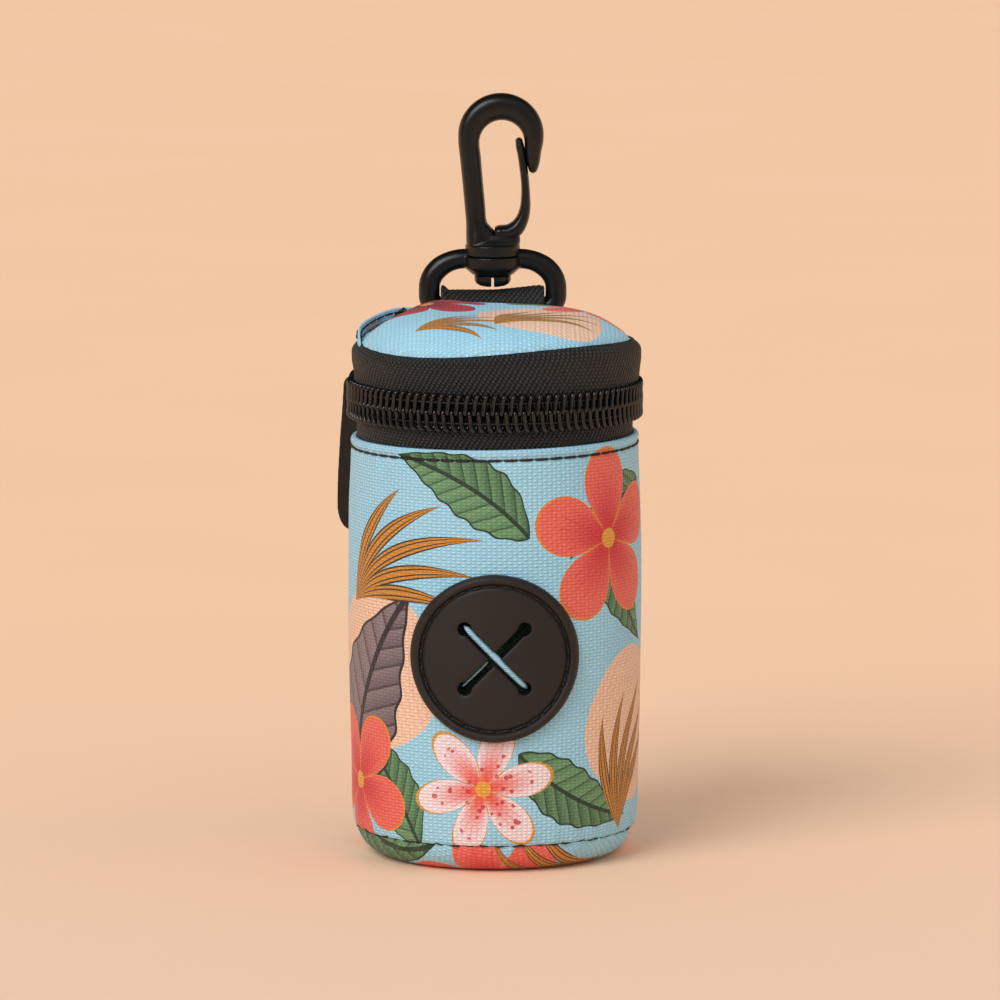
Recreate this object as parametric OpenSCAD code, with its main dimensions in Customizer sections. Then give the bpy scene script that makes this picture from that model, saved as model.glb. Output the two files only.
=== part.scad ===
// Round zip-top pouch that holds a roll of bags and feeds them through a slit rubber port.
// It hangs from a webbing loop, a swivelling D-ring and a moulded snap hook.
// Millimetres, +Z up, slit port facing -Y, origin at the centre of the base on the floor.

/* [Pouch] */
// Outer radius of the pouch at its widest level
body_r = 25.3; // [24:0.1:34]
// Height of the widest level
belly_z = 40; // [34:1:46]
// Height of the turned hem's top edge
hem_z = 73.1; // [70:0.1:100]
// How far the hem lies inside the widest level
hem_draw = 0.6; // [0.3:0.1:1.2]
// Height of the folded part of the hem
hem_fold = 7; // [5:0.5:9]
// Height of the seam between wall and base
seam_z = 5; // [4:0.1:7]
// How far the base seam lies inside the widest level
seam_draw = 1.25; // [0.8:0.05:2]
// Height at which the wall starts to curve in to the base seam
corner_z = 12; // [9:0.5:14]
// Width of the ring between the base seam and the flat it stands on
foot_draw = 4.5; // [3:0.1:6]

/* [Cloth] */
// Thickness of the coated polyester cloth
fabric_t = 0.4; // [0.3:0.05:0.6]
// Thickness of the foam padding
foam_t = 1.8; // [1.2:0.1:2.4]
// Thickness of the lining
lining_t = 0.3; // [0.2:0.05:0.5]
// Clearance between sewn layers
ply_gap = 0.1; // [0.05:0.01:0.15]
// Thickness of the base padding
base_foam_t = 2.1; // [1.5:0.1:3]
// Height of the seam bindings
binding_h = 6; // [4:0.5:8]
// Thickness of a folded seam binding
binding_t = 1.1; // [0.8:0.1:1.4]

/* [Bag port] */
// Diameter of the rubber port
port_d = 28.8; // [24:0.1:34]
// Height of the port's centre
port_z = 37.6; // [32:0.1:46]
// Thickness of the rubber
port_t = 1.3; // [1:0.1:2]
// Width of the port's raised rim
port_rim_w = 1.5; // [1.2:0.1:2.4]
// Height of the raised rim above the rubber
port_rim_h = 0.45; // [0.2:0.05:0.8]
// Width of the stitch groove
groove_w = 0.7; // [0.5:0.1:1]
// Depth of the stitch groove
groove_t = 0.5; // [0.3:0.1:0.8]
// Tip-to-tip length of each arm of the crossed slit
slit_l = 16.8; // [10:0.1:18]
// Width of the slit in the rubber
slit_w = 1.8; // [1.2:0.1:2.4]
// Diameter of the slit's round ends
slit_end_d = 2.4; // [2.2:0.1:3.2]
// Width of the slit in the cloth behind
cloth_slit_w = 1.0; // [0.6:0.1:1.2]

/* [Zip] */
// Height of the chain's centre above the hem
chain_rise = 6.25; // [5:0.05:9]
// Thickness of the zip tape
tape_t = 0.6; // [0.5:0.05:0.8]
// Gap between the two tapes at the chain's centre
tape_gap = 0.6; // [0.4:0.1:1]
// Gap between the tapes where they part round the wedge
parted_gap = 3.8; // [3.4:0.1:4.2]
// Angle from the front at which the tapes end, each way
tape_end_a = 145; // [140:1:152]
// Diameter of the coil's nylon wire
wire_d = 0.65; // [0.5:0.01:0.7]
// Width of one coil, across the chain
coil_w = 3.9; // [3.4:0.1:4.4]
// Depth of the coil, outwards
coil_t = 2.05; // [1.7:0.05:2.3]
// How far the two coils mesh
coil_mesh = 1.1; // [0.7:0.1:1.3]
// Spacing of the turns, as an angle about the pouch
pitch_a = 3.52; // [3.3:0.01:4]
// Angle from the front to the first turn, at the open end
chain_start_a = -131; // [-134:1:-128]
// Length of a stop, along the tape
stop_l = 1.6; // [1.2:0.1:2]
// Width of a stop, across the tape
stop_w = 2.6; // [2:0.1:3.2]
// How far a stop stands proud of the tape it grips
stop_lip = 0.5; // [0.3:0.1:0.7]

/* [Slider] */
// Angle from the front at which the slider rests with the zip shut
slider_a = 122; // [116:1:124]
// Length of the slider, along the zip
slider_l = 10.4; // [9:0.1:11]
// Width of the slider's mouth
slider_w = 9; // [8.6:0.1:10]
// Width of the slider's tail
slider_tail_w = 7.8; // [7.6:0.1:8.6]
// Thickness of the slider's plates
plate_t = 0.9; // [0.7:0.1:1.2]
// Running clearance round the chain
chain_gap = 0.15; // [0.1:0.01:0.3]
// Width of the wedge that parts the chain
wedge_w = 3; // [2.6:0.1:3.2]
// Length of the wedge
wedge_l = 3.4; // [2.8:0.1:4]
// Depth of the plates' bent edges
slider_lip = 0.8; // [0.6:0.1:1]
// Diameter of the plates' rounded corners
slider_corner_d = 3; // [2:0.1:4]
// Diameter of the bridge bar that carries the puller
bridge_d = 1.2; // [1:0.1:1.6]

/* [Puller] */
// Length of the puller from its eye's top
puller_l = 27.4; // [20:0.1:40]
// Width of the puller near its lower end
puller_w = 6.5; // [5:0.1:8]
// Thickness of the puller
puller_t = 1.8; // [1.2:0.1:2.2]
// Width of metal round the puller's eye
puller_rail = 1.1; // [0.9:0.1:1.4]
// Radial clearance between the eye and the bridge bar
eye_gap = 0.1; // [0.05:0.01:0.2]

/* [Lid] */
// Height of the lid's rim seam above the chain
rim_rise = 9.6; // [8:0.1:14]
// Height of the crown above the rim seam
crown_h = 5.5; // [4.5:0.1:9]
// Flatness of the crown's middle, from a cone at 1 up
crown_flat = 3.4; // [2:0.1:5]
// Steepness of the crown's shoulder
crown_round = 1.5; // [1.2:0.1:2.4]
// How far the band above the chain swells out
band_swell = 1.1; // [0.6:0.1:1.4]
// Height of the folded strip that stands on the back of the rim
facing_h = 1.9; // [1.2:0.1:2.6]
// Angle from the front to the strip's left end
facing_left_a = 80; // [76:1:110]
// Angle from the front to the strip's right end
facing_right_a = 134; // [110:1:150]
// Gap between the hinge cloth and each tape end, as an angle
panel_gap_a = 0.5; // [0.3:0.1:0.8]

/* [Webbing loop] */
// Width of the webbing
strap_w = 18.2; // [14:0.1:19]
// Thickness of the webbing
strap_t = 1.2; // [1:0.1:1.4]
// Height of the stitched tail of the loop
strap_tail = 6; // [4:0.5:7]
// Offset of the loop from the middle of the back
strap_x = -0.4; // [-1:0.1:1]
// Clearance between webbing and bar
bar_gap = 0.2; // [0.15:0.01:0.3]
// Height of the D-ring's bar above the rim seam
bar_rise = 2.95; // [2.8:0.05:4]

/* [D-ring] */
// Clearance between the webbing's edge and each leg of the D-ring
strap_side_gap = 0.2; // [0.2:0.05:0.6]
// Diameter of the D-ring's wire
ring_d = 3.7; // [3:0.1:4]
// Height of the D-ring from bar centre to arm centre
ring_h = 8.65; // [8.5:0.05:11]
// Bend radius of the upper corners
ring_bend = 5.6; // [4.5:0.1:6]
// Bend radius of the lower corners
bar_bend = 2.2; // [2.1:0.1:2.6]
// Diameter of the swivel barrel
barrel_d = 10.2; // [9.6:0.1:11]
// Height of the swivel barrel, taper included
barrel_h = 3.3; // [3:0.1:4]

/* [Snap hook] */
// Diameter of the hook's post
post_d = 4.6; // [4:0.1:5]
// Radial running clearance of the post in the barrel
post_gap = 0.1; // [0.05:0.01:0.1]
// Diameter of the split end that keeps the post in
flare_d = 6.2; // [5.6:0.1:6.4]
// Height of the split end
flare_h = 2; // [1.8:0.1:2]
// Width of the split
split_w = 0.8; // [0.6:0.1:1]
// Diameter of the hook's collar
collar_d = 9.6; // [9:0.1:9.8]
// Height of the hook's collar
collar_h = 1.9; // [1.5:0.1:3]
// Outer radius of the hook's bow
bow_r = 7.35; // [7:0.05:8]
// Inner radius of the hook's bow
bow_in_r = 4.05; // [3.6:0.05:4.2]
// Height of the bow's outer centre above the collar's underside
bow_rise = 21.25; // [20:0.05:26]
// How far the bow's inner centre lies below the outer one
bow_drop = 1.45; // [1.2:0.05:1.7]
// Offset of the bow's outer centre from the swivel's axis
bow_x = 1.45; // [1:0.05:2]
// Offset of the bow's inner centre from its outer one
bow_shift = 0.2; // [0:0.05:0.4]
// Length of the nose below the bow's centre
nose_l = 6.6; // [6:0.1:7.5]
// Squareness of the hook's sections, from a square at 0 to an ellipse at 1
limb_square = 0.8; // [0.6:0.05:1]
// Depth of the hook's bow, front to back
hook_depth = 5.2; // [4.4:0.1:5.6]
// Width of the hook's leg
leg_w = 3.6; // [3:0.1:4]
// Diameter of the gate's root
root_d = 2.5; // [2.3:0.1:2.6]
// Offset of the gate's root from the swivel's axis
root_x = 1.3; // [1:0.1:1.6]
// Height of the gate's root above the collar
root_rise = 2.3; // [2.1:0.1:2.6]
// Clearance between the gate and the hook's body
gate_gap = 0.15; // [0.1:0.01:0.25]
// Depth of the gate, front to back
gate_depth = 4.4; // [3.6:0.1:4.8]

/* [Bag roll] */
// Diameter of the full roll of bags
roll_d = 33; // [24:0.5:34]
// Length of the roll
roll_l = 58; // [50:0.5:60]
// Outer diameter of the cardboard core
core_d = 15; // [12:0.5:18]
// Wall of the cardboard core
core_t = 0.8; // [0.6:0.1:1.2]
// How far the core stands out of the roll at each end
core_out = 1; // [0.5:0.1:2]
// Clearance under the roll
roll_gap = 0.3; // [0.2:0.05:0.4]

/* [Hidden] */
$fn = 96;
small = 0.01;
over = 40;
wall_steps = 10;
corner_steps = 5;
crown_steps = 9;
level_gap = 0.2;

hem_t = 2 * fabric_t + ply_gap;
fold_z = hem_z - hem_fold;
hem_r = body_r - hem_draw;
seam_r = body_r - seam_draw;
foot_r = seam_r - foot_draw;
tape_r = hem_r - hem_t;
tape_in_r = tape_r - tape_t;
foam_in = fabric_t + ply_gap;
lining_in = foam_in + foam_t + ply_gap;
base_top_z = fabric_t + ply_gap + base_foam_t;
floor_z = base_top_z + ply_gap + lining_t;
binding_r = seam_r - lining_in - lining_t - 2 * ply_gap;

chain_z = hem_z + chain_rise;
coil_r = tape_r + small + coil_t / 2;
coil_out_r = coil_r + coil_t / 2;
coil_z = coil_w / 2 - coil_mesh / 2;
slider_half_a = asin(slider_l / 2 / coil_r);
wedge_x = slider_l / 2 - wedge_l / 2;
chain_end_a = slider_a + asin((wedge_x - wedge_l / 2 - wire_d) / coil_r);
turns = floor((chain_end_a - chain_start_a) / pitch_a);
stop_a = slider_a + slider_half_a + asin(stop_l * 1.4 / coil_r);
stop_end_a = stop_a + asin(stop_l / 2 / tape_r);

plate_in_r = coil_out_r + chain_gap;
plate_out_r = plate_in_r + plate_t;
back_plate_r = sqrt(pow(tape_in_r, 2) - pow(slider_l / 2, 2)) - chain_gap;
bridge_r = plate_out_r + chain_gap + puller_rail + eye_gap + bridge_d / 2;
eye_r = bridge_d / 2 + eye_gap;
knuckle_r = eye_r + puller_rail;

rim_z = chain_z + rim_rise;
rim_r = tape_r;
lid_binding_z = rim_z - ply_gap - binding_h * 0.7;
facing_r = rim_r + ply_gap;

bar_r = ring_d / 2;
strap_in_r = bar_r + bar_gap;
strap_out_r = strap_in_r + strap_t;
band_r = tape_r + band_swell;
tail_r = band_r + ply_gap;
bar_y = tail_r + strap_t;
bar_z = rim_z + bar_rise;
ring_in_w = strap_w + 2 * strap_side_gap;
ring_x = ring_in_w / 2 + bar_r;
arm_z = bar_z + ring_h;
barrel_top_z = arm_z + ring_d / 8;
barrel_low_z = barrel_top_z - barrel_h;

collar_z = barrel_top_z + post_gap;
collar_gap = 2 * post_gap;
barrel_taper = (barrel_d - flare_d) * 0.4;
flare_top_z = barrel_low_z - post_gap;
bow_z = collar_z + bow_rise;
bow_in_x = bow_x + bow_shift;
root_z = collar_z + collar_h + root_rise;

// Outer radius of the wall: a shallow barrel that turns in below corner_z
function barrel(z) = body_r - hem_draw * pow((z - belly_z) / (hem_z - belly_z), 2);
function corner(t) = [
    seam_r + (barrel(corner_z) - seam_r) * cos(90 * t),
    corner_z - (corner_z - seam_z) * sin(90 * t)];
function corner_r(z) =
    seam_r + (barrel(corner_z) - seam_r) * sqrt(1 - pow((corner_z - z) / (corner_z - seam_z), 2));
function wall_r(z) = z < corner_z ? corner_r(max(z, seam_z)) : barrel(z);

// Points up the wall, moved in by inset, from z0 to z1
function wall_line(inset, z0, z1) = [for (z = wall_levels(z0, z1)) [wall_r(z) - inset, z]];
function wall_levels(z0, z1) = concat(
    [z0],
    [for (i = [corner_steps - 1:-1:0])
        let (z = corner(i / corner_steps)[1])
        if (is_inside(z, z0, z1)) z],
    [for (i = [1:wall_steps])
        let (z = corner_z + (hem_z - corner_z) * i / wall_steps)
        if (is_inside(z, z0, z1)) z],
    [z1]);
function is_inside(z, z0, z1) = z > z0 + level_gap && z < z1 - level_gap;
function reversed(points) = [for (i = [len(points) - 1:-1:0]) points[i]];

// The base's curve from the flat foot up to the seam, moved in by inset
function foot_line(inset, t1) = [for (i = [0:corner_steps]) let (t = t1 * i / corner_steps)
    [foot_r + (seam_r - foot_r - inset) * sin(t), inset + (seam_z - inset) * (1 - cos(t))]];
function foot_turn(inset, z) = acos(1 - (z - inset) / (seam_z - inset));

// The lid's crown, moved in by inset, from the rim to the middle
function crown_line(inset) = [for (i = [0:crown_steps])
    let (u = sqrt(1 - pow(sin(90 * i / crown_steps), 2)))
    [(rim_r - inset) * u, rim_z + ply_gap + (crown_h - inset) * crown_rise(u)]];
function crown_rise(u) = pow(1 - pow(min(u, 1), crown_flat), 1 / crown_round);

// The band of tape above the chain, moved in by inset
function band_line(inset, z0) = [
    [tape_r - inset, z0],
    [tape_r - inset, rim_z - 5.4],
    [tape_r + band_swell * 0.55 - inset, rim_z - 3.9],
    [tape_r + band_swell * 0.9 - inset, rim_z - 2.5],
    [tape_r + band_swell - inset, rim_z - 1.6],
    [tape_r + band_swell * 0.75 - inset, rim_z - 0.7],
    [rim_r - inset, rim_z]];

// Turns children from the front (-Y) by an angle towards the left (-X)
module at_angle(a) {
    rotate([0, 0, -a]) children();
}

// Revolves a profile between two angles from the front, counted towards the left
module sector(a0, a1) {
    rotate([0, 0, -90 - a1]) rotate_extrude(angle = a1 - a0) children();
}

// One arm of the crossed slit, cut front to back
module slit_arm(w, end_d) {
    reach = slit_l / 2 - end_d / 2;
    rotate([90, 0, 0]) {
        linear_extrude(over) square([2 * reach, w], center = true);
        for (s = [-1, 1]) translate([s * reach, 0, 0]) cylinder(h = over, d = end_d, $fn = 32);
    }
}

module crossed_slit(w, end_d) {
    translate([0, 0, port_z]) for (a = [45, -45]) rotate([0, a, 0]) slit_arm(w, end_d);
}

// Printed cloth wall with its turned hem
module body_outer() color("#8fc7d6") {
    difference() {
        rotate_extrude() polygon(concat(
            wall_line(0, seam_z + ply_gap / 2, hem_z),
            [[hem_r - hem_t, hem_z], [hem_r - hem_t, fold_z]],
            reversed(wall_line(fabric_t, seam_z + ply_gap / 2, fold_z))));
        crossed_slit(cloth_slit_w, cloth_slit_w);
    }
}

// Foam padding between the cloth and the lining
module body_foam() color("#d9d4c8") {
    difference() {
        rotate_extrude() polygon(concat(
            wall_line(foam_in, seam_z + ply_gap, fold_z - ply_gap),
            reversed(wall_line(foam_in + foam_t, seam_z + ply_gap, fold_z - ply_gap))));
        crossed_slit(cloth_slit_w, cloth_slit_w);
    }
}

// Lining, which steps out above the foam to be sewn to the tape
module body_lining() color("#2b2b2d") {
    top_z = hem_z - 3 * ply_gap;
    step_z = fold_z + lining_in - foam_in;
    top_r = tape_in_r - ply_gap;
    difference() {
        rotate_extrude() polygon(concat(
            wall_line(lining_in, seam_z + 2 * ply_gap, fold_z),
            [[top_r, step_z], [top_r, top_z], [top_r - lining_t, top_z], [top_r - lining_t, step_z]],
            reversed(wall_line(lining_in + lining_t, seam_z + 2 * ply_gap, fold_z))));
        crossed_slit(cloth_slit_w, cloth_slit_w);
    }
}

// Printed cloth base, bulging below the seam
module base_panel() color("#8fc7d6") {
    rotate_extrude() polygon(concat(
        [[0, 0]],
        foot_line(0, 89),
        reversed(foot_line(fabric_t, 89)),
        [[0, fabric_t]]));
}

// Base padding
module base_foam() color("#d9d4c8") {
    inset = foam_in;
    rotate_extrude() polygon(concat(
        [[0, inset]],
        foot_line(inset, foot_turn(inset, base_top_z)),
        [[0, base_top_z]]));
}

// Lining disc that the roll stands on
module base_lining() color("#2b2b2d") {
    translate([0, 0, base_top_z + ply_gap]) cylinder(h = lining_t, r = binding_r);
}

// Binding folded over the base seam, inside
module base_binding() color("#1c1c1e") {
    translate([0, 0, floor_z + ply_gap]) difference() {
        cylinder(h = binding_h, r = binding_r);
        translate([0, 0, -small]) cylinder(h = binding_h + 2 * small, r = binding_r - binding_t);
    }
}

// Rubber port: a disc bent to the wall, with a raised rim, a stitch groove and a crossed slit
module slit_port() color("#1d1b1a") {
    low_z = port_z - port_d / 2 - 1;
    high_z = port_z + port_d / 2 + 1;
    groove_d = port_d - 2 * port_rim_w - groove_w;
    difference() {
        union() {
            intersection() {
                port_layer(0, port_t, low_z, high_z);
                port_disc(port_d);
            }
            intersection() {
                port_layer(port_t, port_rim_h, low_z, high_z);
                difference() {
                    port_disc(port_d);
                    port_disc(port_d - 2 * port_rim_w);
                }
            }
        }
        intersection() {
            port_layer(port_t - groove_t, over, low_z, high_z);
            difference() {
                port_disc(groove_d + groove_w);
                port_disc(groove_d - groove_w);
            }
        }
        crossed_slit(slit_w, slit_end_d);
    }
}

// A skin on the wall that starts at height h0 above it and is t thick
module port_layer(h0, t, low_z, high_z) {
    rotate_extrude() polygon(concat(
        wall_line(-ply_gap - h0 - t, low_z, high_z),
        reversed(wall_line(-ply_gap - h0, low_z, high_z))));
}

module port_disc(d) {
    translate([0, 0, port_z]) rotate([90, 0, 0]) cylinder(h = over, d = d);
}

// The space in which the two tapes part round the slider's wedge, seen from outside
module parting() {
    half = parted_gap / 2;
    start = -(wedge_x - wedge_l / 2 - wire_d);
    at_angle(slider_a) translate([0, 0, chain_z]) rotate([90, 0, 0]) linear_extrude(over)
        polygon([[start, 0], [start - wedge_l * 0.6, half], [-slider_l, half],
            [-slider_l, -half], [start - wedge_l * 0.6, -half]]);
    translate([0, 0, chain_z - half])
        sector(slider_a + slider_half_a, tape_end_a + 1) square([over, parted_gap]);
}

// Lower zip tape, sewn inside the hem
module zip_tape_lower() color("#1f1f21") {
    difference() {
        sector(-tape_end_a, tape_end_a) translate([tape_in_r, fold_z + ply_gap])
            square([tape_t, chain_z - tape_gap / 2 - fold_z - ply_gap]);
        parting();
    }
}

// Upper zip tape, which is also the band below the lid's rim seam
module zip_tape_upper() color("#1f1f21") {
    low_z = chain_z + tape_gap / 2;
    difference() {
        sector(-tape_end_a, tape_end_a)
            polygon(concat(band_line(0, low_z), reversed(band_line(tape_t, low_z))));
        parting();
    }
}

// One flattened turn of a zip coil, standing across the chain
module coil_turn() {
    straight = coil_w - coil_t;
    rotate([0, 90, 0]) linear_extrude(wire_d, center = true) difference() {
        union() {
            for (s = [-1, 1]) translate([s * straight / 2, 0]) circle(d = coil_t, $fn = 24);
            square([straight, coil_t], center = true);
        }
        for (s = [-1, 1]) translate([s * straight / 2, 0]) circle(d = coil_t - 2 * wire_d, $fn = 24);
        square([straight, coil_t - 2 * wire_d], center = true);
    }
}

// A row of turns; side is -1 for the lower coil and 1 for the upper one
module coil_row(side) {
    shift_a = side > 0 ? pitch_a / 2 : 0;
    for (i = [0:turns - 1]) at_angle(chain_start_a + shift_a + i * pitch_a)
        translate([0, -coil_r, chain_z + side * coil_z]) coil_turn();
}

module zip_coil_lower() color("#26262a") coil_row(-1);

module zip_coil_upper() color("#26262a") coil_row(1);

// A stop clamped over the edge of a tape whose edge lies edge_gap / 2 from the chain's centre
module zip_stop(side, a, edge_gap) {
    edge_lip = min(stop_lip, edge_gap / 2 - ply_gap);
    at_angle(a) translate([0, 0, chain_z]) mirror([0, 0, side > 0 ? 0 : 1])
        translate([0, 0, edge_gap / 2]) difference() {
            translate([-stop_l / 2, -tape_r - stop_lip, -edge_lip])
                cube([stop_l, tape_t + 2 * stop_lip, stop_w]);
            translate([0, 0, -ply_gap]) difference() {
                cylinder(h = stop_w, r = tape_r + ply_gap);
                translate([0, 0, -stop_w]) cylinder(h = 3 * stop_w, r = tape_in_r - ply_gap);
            }
        }
}

module zip_stops(side) {
    zip_stop(side, stop_a, parted_gap);
    zip_stop(side, chain_start_a - asin(stop_l * 1.2 / coil_r), tape_gap);
}

module zip_stops_lower() color("#2a2a2d") zip_stops(-1);

module zip_stops_upper() color("#2a2a2d") zip_stops(1);

// Printed cloth that joins lid and pouch at the back, with a turned edge over each tape end
module hinge_panel() color("#8fc7d6") {
    back_a = 180 - tape_end_a - panel_gap_a;
    lap_a = tape_end_a - stop_end_a;
    band_sector(180 - back_a, 180 + back_a, 0, tape_t, fold_z + ply_gap);
    for (s = [-1, 1]) {
        edge_a = 180 + s * back_a;
        in_a = edge_a - s * 2 * panel_gap_a;
        end_a = edge_a + s * lap_a;
        fold_a = edge_a - s * panel_gap_a / 2;
        band_sector(min(in_a, end_a), max(in_a, end_a), -ply_gap - fabric_t, -ply_gap, hem_z + ply_gap);
        band_sector(min(in_a, fold_a), max(in_a, fold_a), -ply_gap - fabric_t / 2, tape_t / 2,
            hem_z + ply_gap);
    }
}

// Part of the band above the chain, between two insets and from a height z0 up
module band_sector(a0, a1, outer, inner, z0) {
    sector(a0, a1) polygon(concat(band_line(outer, z0), reversed(band_line(inner, z0))));
}

// Printed cloth crown of the lid
module lid_top() color("#8fc7d6") crown_shell(0, fabric_t);

module lid_foam() color("#d9d4c8") crown_shell(foam_in, foam_in + foam_t);

module lid_lining() color("#2b2b2d") crown_shell(lining_in, lining_in + lining_t);

module crown_shell(outer, inner) {
    rotate_extrude() polygon(concat(crown_line(outer), reversed(crown_line(inner))));
}

// Binding folded over the rim seam, inside the lid
module lid_binding() color("#1c1c1e") {
    ring_r = tape_in_r - 2 * ply_gap;
    translate([0, 0, lid_binding_z]) difference() {
        cylinder(h = rim_z - lid_binding_z, r = ring_r);
        translate([0, 0, -small]) cylinder(h = over, r = ring_r - binding_t);
    }
}

// Folded strip of printed cloth that stands along the back of the rim
module rim_facing() color("#8fc7d6") {
    sector(facing_left_a, 360 - facing_right_a) translate([facing_r, rim_z + ply_gap / 2])
        square([fabric_t + ply_gap, facing_h]);
}

// Webbing folded round the D-ring's bar, its two ends stitched to the back of the lid
module strap_loop() color("#161618") {
    tail_top_z = rim_z - fabric_t;
    tail_low_z = tail_top_z - strap_tail;
    half_a = asin(strap_w / 2 / (tail_r + strap_t));
    difference() {
        union() {
            translate([strap_x, bar_y, bar_z]) rotate([0, 90, 0])
                cylinder(h = strap_w, r = strap_out_r, center = true);
            translate([strap_x, 0, 0]) sector(180 - half_a, 180 + half_a)
                translate([tail_r, tail_low_z]) square([2 * strap_t, tail_top_z - tail_low_z]);
            translate([strap_x - strap_w / 2, bar_y - strap_t, tail_top_z - strap_t])
                cube([strap_w, 2 * strap_t, bar_z - tail_top_z + strap_t]);
        }
        translate([strap_x, bar_y, bar_z]) rotate([0, 90, 0])
            cylinder(h = 2 * strap_w, r = strap_in_r, center = true);
        cylinder(h = rim_z, r = tail_r);
        cylinder(h = rim_z + facing_h + ply_gap, r = facing_r + fabric_t + 2 * ply_gap);
    }
}

// Outline of a slider plate, mouth towards -X
module plate_outline() {
    corner_d = slider_corner_d;
    tail_x = slider_l / 2 - corner_d / 2;
    mouth_x = -slider_l / 2 + corner_d / 2;
    for (s = [-1, 1]) {
        translate([tail_x, s * (slider_tail_w - corner_d) / 2]) circle(d = corner_d, $fn = 24);
        translate([mouth_x, s * (slider_w - corner_d) / 2]) circle(d = corner_d, $fn = 24);
    }
    polygon([[tail_x, -slider_tail_w / 2], [tail_x, slider_tail_w / 2], [mouth_x, slider_w / 2],
        [mouth_x, -slider_w / 2]]);
    translate([mouth_x - corner_d / 2, -(slider_w - corner_d) / 2]) square([corner_d, slider_w - corner_d]);
    translate([tail_x - corner_d / 2, -(slider_tail_w - corner_d) / 2])
        square([corner_d, slider_tail_w - corner_d]);
}

// A slab of the slider between two distances from the pouch's axis
module slider_slab(r0, r1) {
    translate([0, -r0, 0]) rotate([90, 0, 0]) linear_extrude(r1 - r0) children();
}

// Zip slider: two plates with bent edges, the wedge that parts the chain, and the puller's bridge
module zip_slider() color("#232326") {
    bent_x = (slider_l - slider_corner_d) / 2;
    bridge_l = puller_t + 2 * chain_gap + 2 * bridge_d;
    at_angle(slider_a) translate([0, 0, chain_z]) {
        slider_slab(plate_in_r - small, plate_out_r) plate_outline();
        slider_slab(back_plate_r - plate_t, back_plate_r + small) plate_outline();
        slider_slab(back_plate_r, plate_in_r) polygon([
            [-wedge_x - wedge_l / 2, -wedge_w / 2], [-wedge_x - wedge_l / 2, wedge_w / 2],
            [-wedge_x, wedge_w / 2], [-wedge_x + wedge_l / 2, 0], [-wedge_x, -wedge_w / 2]]);
        for (s = [-1, 1]) slider_slab(plate_in_r - slider_lip, plate_in_r) polygon([
            [-bent_x, s * slider_w / 2], [bent_x, s * slider_tail_w / 2],
            [bent_x, s * (slider_tail_w - slider_lip) / 2], [-bent_x, s * (slider_w / 2 - slider_lip)]]);
        translate([0, -bridge_r, 0]) rotate([0, 90, 0])
            cylinder(h = bridge_l, d = bridge_d, center = true, $fn = 32);
        for (s = [-1, 1]) translate([s * (bridge_l - bridge_d) / 2, -bridge_r, 0]) rotate([-90, 0, 0])
            cylinder(h = bridge_r - plate_out_r + plate_t / 2, d = bridge_d, $fn = 32);
    }
}

// Flat puller that hangs from the bridge by a round eye
module zip_puller() color("#1b1b1d") {
    low = knuckle_r - puller_l;
    round_r = puller_w / 2;
    neck_r = knuckle_r - ply_gap;
    blade_r = round_r - ply_gap;
    at_angle(slider_a) translate([0, -bridge_r, chain_z]) rotate([0, 90, 0]) rotate(90) difference() {
        linear_extrude(puller_t, center = true) {
            circle(r = knuckle_r, $fn = 48);
            translate([0, low + round_r]) circle(r = round_r, $fn = 64);
            polygon([[neck_r, 0], [-neck_r, 0], [-neck_r, -slider_w / 2], [-round_r, -slider_w],
                [-blade_r, low + round_r], [blade_r, low + round_r], [round_r, -slider_w],
                [neck_r, -slider_w / 2]]);
        }
        cylinder(h = 2 * puller_t, r = eye_r, center = true, $fn = 32);
    }
}

// A quarter bend of the D-ring about a centre in its own plane, starting at angle a
module ring_quarter(x, z, bend, a) {
    translate([x, 0, z]) rotate([90, 0, 0]) rotate([0, 0, a]) rotate_extrude(angle = 90)
        translate([bend, 0]) circle(d = ring_d, $fn = 48);
}

module ring_rod(from, to) {
    run = to - from;
    length = norm(run);
    translate([from[0], 0, from[1]]) rotate([0, atan2(run[0], run[1]), 0])
        cylinder(h = length, d = ring_d, $fn = 48);
}

// D-ring with the swivel barrel moulded into its arms
module swivel_ring() color("#151517") {
    up_z = arm_z - ring_bend;
    low_z = bar_z + bar_bend;
    arm_x = ring_x - ring_bend;
    bar_x = ring_x - bar_bend;
    translate([strap_x, bar_y, 0]) difference() {
        union() {
            ring_rod([-bar_x, bar_z], [bar_x, bar_z]);
            ring_rod([-arm_x, arm_z], [arm_x, arm_z]);
            for (s = [0, 1]) mirror([s, 0, 0]) {
                ring_rod([ring_x, low_z], [ring_x, up_z]);
                ring_quarter(arm_x, up_z, ring_bend, 0);
                ring_quarter(bar_x, low_z, bar_bend, 270);
            }
            translate([0, 0, barrel_low_z]) rotate_extrude() polygon([
                [0, 0],
                [barrel_d / 2 - barrel_taper, 0],
                [(barrel_d - barrel_taper) / 2 + ply_gap, barrel_taper / 2],
                [barrel_d / 2, barrel_taper],
                [barrel_d / 2, barrel_h],
                [0, barrel_h]]);
        }
        translate([0, 0, barrel_top_z]) cylinder(h = over, d = collar_d + 2 * collar_gap);
        translate([0, 0, barrel_low_z - over]) cylinder(h = over, d = barrel_d - 2 * barrel_taper);
        translate([0, 0, barrel_low_z - barrel_h]) cylinder(h = over, r = post_d / 2 + post_gap, $fn = 48);
    }
}

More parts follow.
